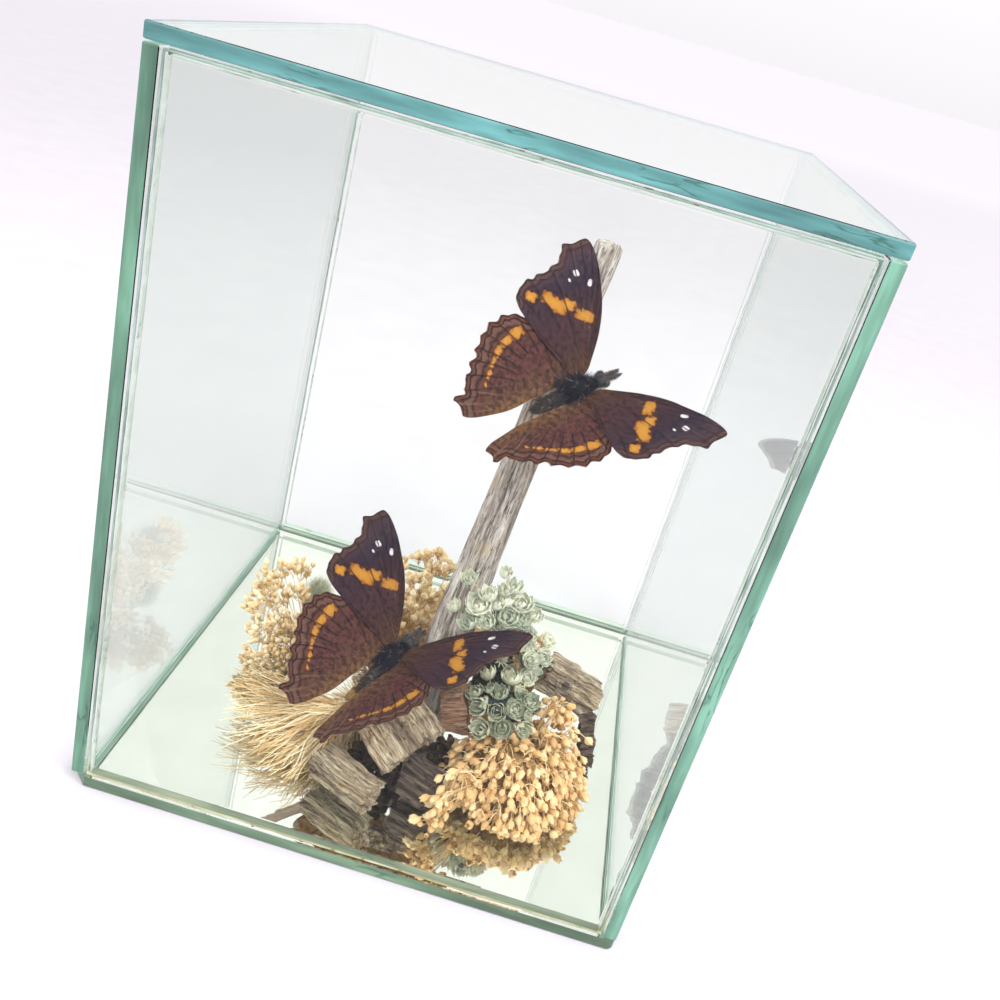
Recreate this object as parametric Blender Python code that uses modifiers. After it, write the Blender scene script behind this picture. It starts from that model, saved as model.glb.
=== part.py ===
"""Two mounted butterflies on driftwood and dried flowers, sealed in a small glass case.

Metres, +Z up, +Y to the back. The origin is the middle of the case's underside.
Everything inside is placed in millimetres and turned to metres by MM.
"""
import math
import random

import bmesh
import bpy
from mathutils import Matrix, Vector, noise

noise.seed_set(5)                 # without it noise_vector takes its offsets from the clock

MM = 0.001
GAP = 0.0003                      # air kept between pieces that touch

# The case
WIDTH = 0.130
DEPTH = 0.136
HEIGHT = 0.165
GLASS = 0.003
EDGE_GRIND = 0.0004               # chamfer ground on the edges of every pane
BEAD = 0.0008                     # visible width of the sealant round the front and back panes

# The driftwood stick, from the floor to its broken top
STICK_FOOT = Vector((6.4, -13.4, 2.0)) * MM
STICK_TOP = Vector((18.3, 34.2, 131.4)) * MM
STICK_FOOT_RADIUS = 6.4 * MM
STICK_TOP_RADIUS = 3.3 * MM
STICK_BOW = 1.2 * MM

# Wing outlines, millimetres outward and forward from each wing's root
FOREWING = [
    (1.7, -2.6), (1.7, 1.2), (4.8, 4.6), (9.6, 8.8), (15.0, 12.2), (21.3, 15.0), (27.0, 16.7),
    (31.2, 17.1), (33.5, 16.2), (33.4, 12.8), (34.1, 9.8), (32.2, 8.2), (30.3, 6.2), (29.7, 3.6),
    (28.9, 2.1), (29.3, 0.2), (28.7, -1.9), (28.9, -3.9), (27.5, -6.2), (26.2, -7.9), (23.4, -8.6),
    (19.3, -8.0), (12.5, -6.2), (6.0, -4.0)]
HINDWING = [
    (1.7, -0.6), (8.0, 0.9), (15.5, -1.2), (19.5, -4.2), (22.0, -7.2), (22.7, -9.6), (22.3, -12.0),
    (22.1, -14.2), (20.8, -16.4), (19.3, -18.2), (17.6, -20.2), (15.9, -21.3), (14.5, -23.4),
    (12.7, -24.3), (11.4, -26.3), (9.3, -27.0), (8.4, -28.2), (7.9, -31.0), (5.6, -29.9),
    (3.6, -30.4), (2.2, -28.2), (1.2, -24.0), (0.4, -18.6), (0.8, -13.0), (1.9, -10.0)]
WING_THICKNESS = 0.3 * MM
FOREWING_ROOT = Vector((1.6, 0.0, 0.3)) * MM      # outward, forward and up from the body's axis
HINDWING_ROOT = Vector((1.6, -3.0, -0.3)) * MM

# Each butterfly: place, turn (degrees), lift of the wings, how far each pair is swept forward,
# and its feet in body millimetres: how far to the right, how far up, and their spread
BUTTERFLIES = {
    "upper": dict(place=(23.1, 11.1, 100.9), turn=(28.6, 26.4, -38.2), lift=21.5,
                  fore=(0.0, 2.2), hind=(0.0, 3.1), feet=(-4.6, -4.4, 1.3)),
    "lower": dict(place=(-3.6, -16.9, 25.9), turn=(18.5, 5.9, -22.3), lift=34.9,
                  fore=(9.8, -6.0), hind=(8.0, -7.5), feet=(0.0, -4.8, 2.8)),
}

# Wood pieces: centre, size and turn (degrees), seed of the weathering
WOOD = {
    "split_block_front": dict(centre=(-5.4, -47.6, 7.5), size=(17.5, 7.2, 8.0), turn=(0, 0, -27), seed=3),
    "split_chunk": dict(centre=(3.5, -38.8, 19.2), size=(18.0, 12.4, 4.8), turn=(29, -32, 44), seed=5),
    "smooth_wedge": dict(centre=(14.8, -28.6, 21.8), size=(7.0, 4.4, 12.0), turn=(-8, -20, 8), seed=8),
    "dark_bark": dict(centre=(11.8, -41.2, 7.8), size=(8.8, 8.0, 9.2), turn=(0, 4, -22), seed=11),
    "knotted_chunk": dict(centre=(43.2, 3.2, 18.0), size=(17.0, 9.0, 9.5), turn=(0, 20, 2), seed=13),
    "bark_chip": dict(centre=(51.2, -8.6, 10.6), size=(4.2, 5.6, 15.6), turn=(0, -14, 10), seed=17),
}

# Bunches: core centre and radii, a head's radius and half length, how many heads would go all over
# the core and how far out, the headings that keep them, and the heads that stand clear of it
BUNCHES = {
    "bud_bunch": dict(
        colour="#D9B27C", centre=(33.5, -26.5, 5), radii=(16.5, 18, 13), head=(1.8, 2.2),
        count=66, reach=1.14, arc=(-185, 60),
        tips=((13, -51, 5), (16, -49, 16), (14, -50, 11), (19, -46, 20))),
    "sage_flowers_low": dict(
        colour="#8E9E90", centre=(27, -27, 26.6), radii=(7.6, 4.2, 3.2), head=(3.0, 2.4),
        count=0, reach=1.0, arc=(0, 0),
        tips=((22, -28, 26), (26, -30, 30), (31, -29, 30), (34, -25, 29), (23, -31, 23), (28, -32, 25),
              (32, -31, 26), (23, -24, 30), (28, -24, 31))),
    "sage_flowers_tall": dict(
        colour="#93A294", centre=(21, -6, 23), radii=(5.6, 4.6, 18.6), head=(3.1, 2.6),
        count=0, reach=1.0, arc=(0, 0),
        tips=((10, -7, 48), (12, -11, 43), (11, -14, 39), (16, -13, 40), (20, -8, 46), (21, -12, 42),
              (18, -4, 48), (24, -4, 44), (27, -7, 39), (30, -12, 32), (33, -2, 32), (29, 1, 38),
              (25, -12, 35))),
    "seed_heads_back": dict(
        colour="#D8B680", centre=(-6, 15, 5), radii=(11, 11, 16), head=(1.8, 2.3),
        count=12, reach=1.16, arc=(-60, 200),
        tips=((-12, 26, 23), (-8, 28, 27), (-4, 28, 30), (1, 22, 29), (-9, 20, 23), (-3, 16, 25),
              (2, 15, 26), (-6, 10, 23), (-2, 7, 21), (3, 12, 23), (-4, 24, 26), (-9, 4, 19))),
    "seed_heads_right": dict(
        colour="#D2B07A", centre=(25.5, 16.5, 5), radii=(12, 10, 13), head=(1.8, 2.3),
        count=26, reach=1.12, arc=(-30, 190), tips=()),
    "seed_heads_left": dict(
        colour="#DDBE8A", centre=(-29, -2, 5), radii=(8.5, 12, 7.6), head=(1.6, 2.1),
        count=8, reach=1.12, arc=(60, 280),
        tips=((-48, -2, 15), (-48, 4, 17), (-46, 8, 17), (-43, 12, 18), (-40, 16, 18), (-44, -5, 11),
              (-46, -10, 6), (-42, -12, 6), (-43, 2, 14), (-41, 6, 15), (-37, -6, 12), (-37, -12, 8),
              (-37, 0, 14), (-37, 8, 15), (-40, -8, 10))),
    "grey_tuft": dict(
        colour="#8F9A88", centre=(-35.4, 21.6, 9.4), radii=(3.4, 3.4, 5.4), head=(1.4, 1.7),
        count=7, reach=1.15, arc=(-180, 180), tips=()),
}
STALK_DEPTH = 0.8                 # how far out in the core a head's stalk starts
GOLDEN_STEP = 137.508             # degrees from one head to the next round the core
HEAD_CLEARANCE = 3.2 * MM         # kept from a bunch's heads to the wood pieces' outer reach

# The brush of cut stems: bound end, bed (centre from the root, and radii), how far its stems reach
# at each heading (degrees, millimetres), how steeply they rise, and the radii of a stem's two ends
BRUSH_ROOT = Vector((-12.6, -27.0, 9.0)) * MM
BRUSH_BED = (Vector((3.8, 4.2, 1.2)) * MM, Vector((6.2, 7.0, 9.6)) * MM)
BRUSH_REACH = [(168, 32), (190, 33), (210, 33), (230, 31), (252, 27)]
BRUSH_RISE = (-6, 10)
BRUSH_STEM = (2.2, 0.75)
BRUSH_STEMS = 34

LOW_WOOD = 4.0                    # wood whose underside lies lower than this, mm, is cut at the floor
FLOOR_CUT = Vector((0.2, 0.2, 0.05))   # size of the block that cuts at the floor


def remove_everything():
    for thing in list(bpy.data.objects):
        bpy.data.objects.remove(thing, do_unlink=True)


def collection(name):
    group = bpy.data.collections.new(name)
    bpy.context.scene.collection.children.link(group)
    return group


def linear(hex_colour):
    channels = [int(hex_colour[i:i + 2], 16) / 255 for i in (1, 3, 5)]
    return [c / 12.92 if c <= 0.04045 else ((c + 0.055) / 1.055) ** 2.4 for c in channels] + [1.0]


def material(name, hex_colour, roughness, metallic=0.0):
    mat = bpy.data.materials.new(name)
    mat.use_nodes = True
    shader = mat.node_tree.nodes["Principled BSDF"]
    shader.inputs["Base Color"].default_value = linear(hex_colour)
    shader.inputs["Roughness"].default_value = roughness
    shader.inputs["Metallic"].default_value = metallic
    mat.diffuse_color = linear(hex_colour)
    return mat


def link_mesh(name, bm, mat, group):
    bmesh.ops.recalc_face_normals(bm, faces=bm.faces)
    mesh = bpy.data.meshes.new(name)
    bm.to_mesh(mesh)
    bm.free()
    piece = bpy.data.objects.new(name, mesh)
    if mat:
        mesh.materials.append(mat)
    group.objects.link(piece)
    return piece


def box(name, size, centre, mat, group):
    bm = bmesh.new()
    bmesh.ops.create_cube(bm, size=1.0)
    bmesh.ops.scale(bm, vec=size, verts=bm.verts)
    piece = link_mesh(name, bm, mat, group)
    piece.location = centre
    return piece


def pane(name, size, centre, mat, group):
    piece = box(name, size, centre, mat, group)
    grind = piece.modifiers.new("ground edges", "BEVEL")
    grind.width = EDGE_GRIND
    grind.segments = 1
    return piece


def boolean(piece, cutter, operation, own_overlaps=False):
    cut = piece.modifiers.new(operation.lower(), "BOOLEAN")
    cut.object = cutter
    cut.operation = operation
    cut.solver = "EXACT"
    cut.use_self = own_overlaps
    cutter.hide_render = True
    cutter.display_type = "WIRE"


def case(glass, mirror, sealant, group, cutters):
    """Base and top plates over the full footprint, four walls between them."""
    wall_height = HEIGHT - 2 * GLASS - 2 * GAP
    wall_middle = HEIGHT / 2
    inner_width = WIDTH - 2 * GLASS
    inset_width = inner_width - 2 * (GAP + BEAD + GAP)
    inset_height = wall_height - 2 * (BEAD + GAP)
    pane("mirror_base", (WIDTH, DEPTH, GLASS), (0, 0, GLASS / 2), mirror, group)
    pane("top_pane", (WIDTH, DEPTH, GLASS), (0, 0, HEIGHT - GLASS / 2), glass, group)
    for name, side in (("left_pane", -1), ("right_pane", 1)):
        pane(name, (GLASS, DEPTH, wall_height), (side * (WIDTH - GLASS) / 2, 0, wall_middle), glass, group)
    for name, side in (("front", -1), ("back", 1)):
        place = Vector((0, side * (DEPTH - GLASS) / 2, wall_middle))
        pane(name + "_pane", (inset_width, GLASS, inset_height), place, glass, group)
        bead = box(name + "_sealant", (inner_width - 2 * GAP, GLASS - 2 * GAP, wall_height), place,
                   sealant, group)
        hole = box(name + "_sealant_hole", (inset_width + 2 * GAP, GLASS * 2, inset_height + 2 * GAP),
                   place, None, cutters)
        boolean(bead, hole, "DIFFERENCE")


def aim(direction):
    """Turn that lays local Z along the direction."""
    return direction.to_track_quat("Z", "Y").to_euler()


def stick(mat, group, cutters):
    """Weathered round stick: a tapered post whose rings wander, ribbed and broken off at the top."""
    axis = STICK_TOP - STICK_FOOT
    rings = 12
    bm = bmesh.new()
    bmesh.ops.create_cone(bm, cap_ends=True, segments=14, radius1=STICK_FOOT_RADIUS,
                          radius2=STICK_TOP_RADIUS, depth=axis.length)
    for ring in range(1, rings):
        height = (ring / rings - 0.5) * axis.length
        bmesh.ops.bisect_plane(bm, geom=bm.verts[:] + bm.edges[:] + bm.faces[:],
                               plane_co=(0, 0, height), plane_no=(0, 0, 1))
    for vert in bm.verts:
        along = vert.co.z / axis.length + 0.5
        around = math.atan2(vert.co.y, vert.co.x)
        rib = 1 + 0.07 * math.sin(3 * around + 4 * along) + 0.05 * math.sin(7 * around - 6 * along)
        flare = 1 + 0.16 * max(0.0, 0.16 - along) / 0.16
        vert.co.x *= rib * flare
        vert.co.y *= rib * flare
        bow = STICK_BOW * math.sin(math.pi * along)
        vert.co.x += bow
        vert.co.y += 0.4 * bow * math.sin(9 * along)
        if along > 0.99:
            vert.co.z += 0.9 * MM * math.sin(2.3 * around + 1.0)
    piece = link_mesh("driftwood_stick", bm, mat, group)
    piece.location = (STICK_FOOT + STICK_TOP) / 2
    piece.rotation_euler = aim(axis)
    cut_at_floor(piece, cutters)
    return piece


def wood_piece(name, spec, mat, group, cutters):
    """Split block: a cube cut into rows, worn along its grain, which runs in X."""
    size = Vector(spec["size"]) * MM
    bm = bmesh.new()
    bmesh.ops.create_cube(bm, size=1.0)
    bmesh.ops.subdivide_edges(bm, edges=bm.edges[:], cuts=2, use_grid_fill=True)
    bmesh.ops.scale(bm, vec=size, verts=bm.verts)
    for vert in bm.verts:
        wear = noise.noise_vector(vert.co / (4.5 * MM) + Vector((spec["seed"], 0, 0)))
        vert.co += Vector((wear.x * 0.9, wear.y * 0.7, wear.z * 0.7)) * MM
        vert.co.y *= 1 - 0.10 * vert.co.x / size.x
        vert.co.z *= 1 + 0.14 * vert.co.x / size.x
    piece = link_mesh(name, bm, mat, group)
    piece.location = Vector(spec["centre"]) * MM
    piece.rotation_euler = [math.radians(a) for a in spec["turn"]]
    if spec["centre"][2] - spec["size"][2] / 2 < LOW_WOOD:
        cut_at_floor(piece, cutters)
    return piece


def ellipsoid(bm, centre, radii, turn=None, rings=8, segments=12):
    placed = Matrix.Translation(centre) @ (turn.to_matrix().to_4x4() if turn else Matrix())
    bmesh.ops.create_uvsphere(bm, u_segments=segments, v_segments=rings, radius=1.0,
                              matrix=placed @ Matrix.Diagonal((*radii, 1)))


def spike(bm, start, end, radius_start, radius_end, sides=6):
    axis = end - start
    placed = Matrix.Translation((start + end) / 2) @ axis.to_track_quat("Z", "Y").to_matrix().to_4x4()
    bmesh.ops.create_cone(bm, cap_ends=True, segments=sides, radius1=radius_start,
                          radius2=radius_end, depth=axis.length, matrix=placed)


def butterfly_body(name, feet, mat, group, cutters):
    """Thorax with abdomen, head, eyes, palps and legs grown onto it; forward is local Y."""
    bm = bmesh.new()
    ellipsoid(bm, Vector((0, -2.4, 0)) * MM, Vector((2.9, 4.9, 2.9)) * MM, rings=7, segments=9)
    body = link_mesh(name, bm, mat, group)
    bm = bmesh.new()
    droop = Matrix.Rotation(math.radians(6), 3, "X").to_quaternion()
    ellipsoid(bm, Vector((0, -10.2, -0.7)) * MM, Vector((1.8, 6.0, 1.8)) * MM, droop, rings=7, segments=7)
    ellipsoid(bm, Vector((0, 4.2, -0.1)) * MM, Vector((2.1, 2.2, 1.9)) * MM, rings=5, segments=7)
    for side in (-1, 1):
        ellipsoid(bm, Vector((1.6 * side, 4.9, 0.1)) * MM, Vector((0.9, 1.1, 1.1)) * MM, rings=4, segments=6)
        spike(bm, Vector((0.5 * side, 5.2, -0.2)) * MM, Vector((0.75 * side, 10.2, 0.2)) * MM,
              0.6 * MM, 0.14 * MM, sides=4)
        for back, reach in ((-4.4, -2.0), (-2.6, -0.4), (-0.8, 1.2)):
            spike(bm, Vector((1.3 * side, back, -1.5)) * MM,
                  Vector((feet[0] + feet[2] * side, back + reach, feet[1])) * MM,
                  0.34 * MM, 0.18 * MM, sides=3)
    grown = link_mesh(name + "_grown", bm, None, cutters)
    boolean(body, grown, "UNION", own_overlaps=True)
    return body, grown


def wing_mesh(name, outline, mat):
    """Flat closed sheet from the outline, drawn as a filled curve."""
    curve = bpy.data.curves.new(name, "CURVE")
    curve.dimensions = "2D"
    curve.fill_mode = "BOTH"
    curve.extrude = WING_THICKNESS / 2
    edge = curve.splines.new("POLY")
    edge.points.add(len(outline) - 1)
    for point, (out, forward) in zip(edge.points, outline):
        point.co = (out * MM, forward * MM, 0, 1)
    edge.use_cyclic_u = True
    drawn = bpy.data.objects.new(name, curve)
    bpy.context.scene.collection.objects.link(drawn)
    mesh = bpy.data.meshes.new_from_object(drawn.evaluated_get(bpy.context.evaluated_depsgraph_get()))
    bpy.data.objects.remove(drawn)
    bpy.data.curves.remove(curve)
    bm = bmesh.new()
    bm.from_mesh(mesh)
    bmesh.ops.remove_doubles(bm, verts=bm.verts, dist=1e-6)
    bmesh.ops.recalc_face_normals(bm, faces=bm.faces)
    bm.to_mesh(mesh)
    bm.free()
    mesh.materials.clear()
    mesh.materials.append(mat)
    return mesh


def wing(name, outline, root, side, lift, sweep, mat, body, group):
    """One wing, hinged on the body's long axis: lifted about it and swept forward about its root."""
    mirrored = [(side * out, forward) for out, forward in outline]
    piece = bpy.data.objects.new(name, wing_mesh(name, mirrored, mat))
    group.objects.link(piece)
    turned = Matrix.Rotation(math.radians(-side * lift), 4, "Y")
    piece.parent = body
    piece.location = turned @ Vector((side * root.x, root.y, root.z))
    piece.rotation_mode = "ZYX"
    piece.rotation_euler = (0, math.radians(-side * lift), math.radians(side * sweep))
    return piece


def butterfly(name, spec, wing_mat, body_mat, group, cutters):
    body, grown = butterfly_body(name + "_butterfly_body", spec["feet"], body_mat, group, cutters)
    body.location = Vector(spec["place"]) * MM
    body.rotation_euler = [math.radians(a) for a in spec["turn"]]
    grown.parent = body
    for pair, outline, root, sweeps in (("forewing", FOREWING, FOREWING_ROOT, spec["fore"]),
                                        ("hindwing", HINDWING, HINDWING_ROOT, spec["hind"])):
        for hand, side, sweep in (("left", -1, sweeps[0]), ("right", 1, sweeps[1])):
            wing(f"{name}_{hand}_{pair}", outline, root, side, spec["lift"], sweep, wing_mat, body, group)
    return body


def heads_on_core(centre, radii, count, reach, arc, tips):
    """Places of a bunch's heads: golden-angle points on the core's upper side, and its own tips."""
    places = [Vector(tip) * MM for tip in tips]
    for step in range(count):
        heading = (step * GOLDEN_STEP) % 360 - 180
        if not arc[0] <= heading <= arc[1] and not arc[0] <= heading + 360 <= arc[1]:
            continue
        up = 0.10 + 0.88 * (step + 0.5) / count
        flat = math.sqrt(1 - up * up)
        out = Vector((flat * math.cos(math.radians(heading)), flat * math.sin(math.radians(heading)), up))
        stretch = reach + 0.05 * math.sin(5.1 * step)
        place = centre + Vector([a * b * stretch for a, b in zip(out, radii)])
        if clear_of_wood(place):
            places.append(place)
    return places


def clear_of_wood(place):
    for spec in WOOD.values():
        apart = (place - Vector(spec["centre"]) * MM).length
        if apart < max(spec["size"]) / 2 * MM + HEAD_CLEARANCE:
            return False
    return True


def bunch(name, spec, mat, group, cutters):
    """Dried heads round a dense core of stems: one closed form whose lumps reach the heads' tips."""
    centre = Vector(spec["centre"]) * MM
    radii = Vector(spec["radii"]) * MM
    wide, tall = (v * MM for v in spec["head"])
    bm = bmesh.new()
    bmesh.ops.create_icosphere(bm, subdivisions=2, radius=1.0)
    bmesh.ops.scale(bm, vec=radii, verts=bm.verts)
    core = link_mesh(name, bm, mat, group)
    core.location = centre
    bm = bmesh.new()
    for place in heads_on_core(centre, radii, spec["count"], spec["reach"], spec["arc"], spec["tips"]):
        out = place - centre
        depth = Vector([a / b for a, b in zip(out, radii)]).length
        turn = out.to_track_quat("Z", "Y").to_matrix().to_4x4()
        made = bmesh.ops.create_icosphere(bm, subdivisions=1, radius=1.0,
                                          matrix=Matrix.Diagonal((wide, wide, tall, 1)))["verts"]
        foot = min(made, key=lambda vert: vert.co.z)
        bmesh.ops.transform(bm, verts=made, matrix=Matrix.Translation(out) @ turn)
        foot.co = out * min(0.6, STALK_DEPTH / depth)
    heads = link_mesh(name + "_heads", bm, None, cutters)
    heads.location = centre
    boolean(core, heads, "UNION", own_overlaps=True)
    if centre.z - radii.z < GLASS + GAP:
        cut_at_floor(core, cutters)
    return core


def cut_at_floor(piece, cutters):
    """Takes off what would reach into the base."""
    floor = box(piece.name + "_floor", FLOOR_CUT,
                (piece.location.x, piece.location.y, GLASS + GAP - FLOOR_CUT.z / 2), None, cutters)
    boolean(piece, floor, "DIFFERENCE")


def brush_reach(part):
    """Heading and reach of a stem that stands the given part of the way round the fan."""
    first, last = BRUSH_REACH[0][0], BRUSH_REACH[-1][0]
    heading = first + (last - first) * part
    for (low, near), (high, far) in zip(BRUSH_REACH[:-1], BRUSH_REACH[1:]):
        if heading <= high:
            break
    return math.radians(heading), near + (far - near) * (heading - low) / (high - low)


def brush(mat, group, cutters):
    """Fan of cut stems: a bed of bound ends, with the stems spreading flat out of it."""
    bm = bmesh.new()
    ellipsoid(bm, *BRUSH_BED, rings=7, segments=10)
    core = link_mesh("cut_stem_brush", bm, mat, group)
    core.location = BRUSH_ROOT
    dice = random.Random(4)
    bm = bmesh.new()
    thick, thin = (radius * MM for radius in BRUSH_STEM)
    for number in range(BRUSH_STEMS):
        heading, length = brush_reach(number / (BRUSH_STEMS - 1))
        rise = math.radians(dice.uniform(*BRUSH_RISE))
        length *= dice.uniform(0.86, 1.0) * MM
        tip = Vector((math.cos(heading) * math.cos(rise), math.sin(heading) * math.cos(rise),
                      math.sin(rise))) * length
        spike(bm, tip * 0.04, tip, thick, thin, sides=4)
    fan = link_mesh("cut_stem_brush_fan", bm, None, cutters)
    fan.location = BRUSH_ROOT
    boolean(core, fan, "UNION", own_overlaps=True)
    cut_at_floor(core, cutters)
    return core


def main():
    remove_everything()
    group = collection("butterfly_case")
    cutters = collection("cutters")
    glass = material("pale green glass", "#DCEFE8", 0.02)
    mirror = material("mirror glass", "#C9D8D2", 0.03, metallic=0.8)
    sealant = material("cream sealant", "#E8EAD0", 0.35)
    driftwood = material("weathered driftwood", "#94857A", 0.85)
    split_wood = material("split wood", "#9A8468", 0.8)
    wing_brown = material("dark brown wing scales", "#4A2D28", 0.75)
    body_black = material("blue-black body hair", "#25242C", 0.9)
    stems = material("straw stems", "#DDBB82", 0.7)
    case(glass, mirror, sealant, group, cutters)
    stick(driftwood, group, cutters)
    for name, spec in WOOD.items():
        wood_piece(name, spec, split_wood, group, cutters)
    for name, spec in BUTTERFLIES.items():
        butterfly(name, spec, wing_brown, body_black, group, cutters)
    for name, spec in BUNCHES.items():
        bunch(name, spec, material(name.replace("_", " "), spec["colour"], 0.8), group, cutters)
    brush(stems, group, cutters)


main()
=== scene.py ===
"""Looks of a small glass case with two mounted butterflies on driftwood and dried flowers.

Pieces are modelled in millimetres and brought to metres when they are settled in the case's frame.
"""
import math
import random

import bpy
import numpy as np
from mathutils import Matrix, Vector, noise


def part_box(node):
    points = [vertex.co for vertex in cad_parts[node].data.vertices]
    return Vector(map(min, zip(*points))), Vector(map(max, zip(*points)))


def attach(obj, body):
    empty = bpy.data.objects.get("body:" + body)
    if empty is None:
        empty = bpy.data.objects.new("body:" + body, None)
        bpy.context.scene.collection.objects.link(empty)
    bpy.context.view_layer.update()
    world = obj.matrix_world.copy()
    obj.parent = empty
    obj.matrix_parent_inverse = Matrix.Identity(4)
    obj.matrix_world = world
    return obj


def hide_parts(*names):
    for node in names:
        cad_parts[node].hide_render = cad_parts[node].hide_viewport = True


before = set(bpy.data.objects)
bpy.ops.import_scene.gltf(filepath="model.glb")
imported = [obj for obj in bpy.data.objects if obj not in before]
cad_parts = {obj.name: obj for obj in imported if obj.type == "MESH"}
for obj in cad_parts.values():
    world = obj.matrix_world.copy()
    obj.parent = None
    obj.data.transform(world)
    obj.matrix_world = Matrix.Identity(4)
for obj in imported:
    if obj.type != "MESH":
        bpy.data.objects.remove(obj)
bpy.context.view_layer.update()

noise.seed_set(5)                 # without it noise_vector takes its offsets from the clock

MM = 0.001
UP = Vector((0, 0, 1))

# The case, millimetres
HALF_WIDTH = 65.0
HALF_DEPTH = 68.0
HEIGHT = 165.0
GLASS = 3.0
EDGE_GRIND = 0.4                  # chamfer ground on the edges of every pane
BASE_CORNERS = ((3.2, -1, -1), (1.6, 1, -1), (0.8, -1, 1), (0.8, 1, 1))   # cut, and which corner
FLOOR = 3.3                       # top of the base, with the air under what stands on it
SPILLS = 16                       # crumbs of silicone on the base at the front left

# Glass: index of refraction and tint. Absorption, the same in all, makes it green where it is deep.
GLASSES = {"front, back and top": (1.2, "#FCFEFB"), "side walls": (1.4, "#E7ECE7"), "base": (1.5, "#FDFAF5")}
GLASS_GREEN = (0.38, 0.76, 0.56, 1)
GLASS_DENSITY = 9.0

# Edges of the glass, with painted light: four tones from dark to pale, each set to the light that its
# edge shows, the axis that the edge runs along, how much it glows as painted light, and the share of its
# colour that lamps show
EDGES = {
    "top pane": (("#467272", "#528484", "#5D9494", "#6EADAD"), 0, 0.7, 0.45),
    "left pane": (("#466757", "#547866", "#608A74", "#72A28A"), 2, 0.7, 0.45),
    "right pane": (("#527666", "#608A78", "#6E9C88", "#80B49E"), 2, 0.7, 0.45),
    "base": (("#4F6350", "#5C735D", "#68816A", "#7A977C"), 0, 0.6, 0.5),
    "on the base": (("#7FA99A", "#9AC2B2", "#B0D2C4", "#CCE2D8"), 1, 0.6, 0.2),
    "behind": (("#C4E0CE", "#D4EAD8", "#DEF0DE", "#ECF6EC"), 0, 0.75, 0.15),
    "under the front pane": (("#74826C", "#88967E", "#9AA88E", "#B2BCA0"), 0, 0.6, 0.2),
    "in front silicone": (("#BECEC2", "#CCD8CE", "#D6E0D8", "#E2EAE2"), 0, 0.75, 0.1),
    "in back silicone": (("#C0C8C2", "#CCD2CE", "#D6DAD6", "#E0E4E0"), 0, 0.8, 0.1),
}
# Each pane: its glass, its edge, and the finish of the edge that stands on the base
PANES = {
    "top_pane": ("front, back and top", "top pane", "on the base"),
    "left_pane": ("side walls", "left pane", "on the base"),
    "right_pane": ("side walls", "right pane", "on the base"),
    "front_pane": ("front, back and top", "in front silicone", "under the front pane"),
    "back_pane": ("front, back and top", "in back silicone", "behind"),
}
THIN_SILICONE = ("#A6B2AA", "#B8C2BA", "#C8D0C8")
CLEAR_SILICONE = ("#7C9287", "#90A69B", "#A6B8AE")
CREAM_SILICONE = ("#A3A47C", "#B8BA96", "#CCCEB0")

# The driftwood stick, from the floor to its broken top
STICK_FOOT = Vector((6.4, -13.4, 2.0))
STICK_TOP = Vector((18.3, 34.2, 131.4))
STICK_RADII = (6.4, 3.3)
STICK_BOW = 1.2
STICK_TONES = ("#8A8078", "#B4AAA2", "#CCC4BC", "#E2DCD4")

# Wood pieces: centre, size and turn (degrees), seed of the weathering, finish
WOOD = {
    "split_block_front": ((-5.4, -47.6, 7.5), (17.5, 7.2, 8.0), (0, 0, -27), 3, "split"),
    "split_chunk": ((3.5, -38.8, 19.2), (12.4, 18.0, 4.8), (-35.54, -24.28, 150.37), 5, "split"),
    "smooth_wedge": ((14.8, -28.6, 21.8), (7.0, 4.4, 12.0), (-8, -20, 8), 8, "smooth"),
    # dark_bark fills the dark gap under the split chunk: dark wood, and painted shade there
    "dark_bark": ((11.8, -41.2, 7.8), (8.8, 8.0, 9.2), (0, 4, -22), 11, "bark"),
    "knotted_chunk": ((43.2, 3.2, 18.0), (17.0, 9.0, 9.5), (0, 20, 2), 13, "knotted"),
    "bark_chip": ((51.2, -8.6, 10.6), (4.2, 5.6, 15.6), (0, -14, 10), 17, "bark"),
}
KNOT = ((-2.1, -4.5, 1.8), 2.5)   # the knot's place and radius in the knotted chunk's own millimetres
WOOD_FINISHES = {
    "split": dict(name="split dry wood", tones=("#6E5C4C", "#A08E78", "#C4B298", "#E2D4BC"), groove_depth=0.6),
    # the knotted finish is the split wood's tones painted lighter, as painted light on a piece in shade; its
    # knot is real
    "knotted": dict(name="split wood with a knot, painted lighter", tones=("#7C6A58", "#AE9C86", "#D2C2A8", "#EEE2CA"),
                    groove_depth=0.6, knot=KNOT),
    "bark": dict(name="dark bark", tones=("#3A302C", "#5E5048", "#7C6C60", "#9A8A78"), groove_depth=0.6),
    "smooth": dict(name="smooth brown wood", tones=("#6E5040", "#8E6C56", "#A6846C", "#C0A084"),
                   groove_depth=0.2, roughness=0.6),
}

# Wing outlines, outward and forward from each wing's root; the first point is the trailing root
FOREWING = [
    (1.7, -2.6), (1.7, 1.2), (4.8, 4.6), (9.6, 8.8), (15.0, 12.2), (21.3, 15.0), (27.0, 16.7),
    (31.2, 17.1), (33.5, 16.2), (33.4, 12.8), (34.1, 9.8), (32.2, 8.2), (30.3, 6.2), (29.7, 3.6),
    (28.9, 2.1), (29.3, 0.2), (28.7, -1.9), (28.9, -3.9), (27.5, -6.2), (26.2, -7.9), (23.4, -8.6),
    (19.3, -8.0), (12.5, -6.2), (6.0, -4.0)]
HINDWING = [
    (0.8, -13.0), (1.7, -0.6), (8.0, 0.9), (15.5, -1.2), (19.5, -4.2), (22.0, -7.2), (22.7, -9.6),
    (22.3, -12.0), (22.1, -14.2), (20.8, -16.4), (19.3, -18.2), (17.6, -20.2), (15.9, -21.3),
    (14.5, -23.4), (12.7, -24.3), (11.4, -26.3), (9.3, -27.0), (8.4, -28.2), (7.9, -31.0),
    (5.6, -29.9), (3.6, -30.4), (2.2, -28.2), (1.2, -24.0), (0.4, -18.6)]
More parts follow.
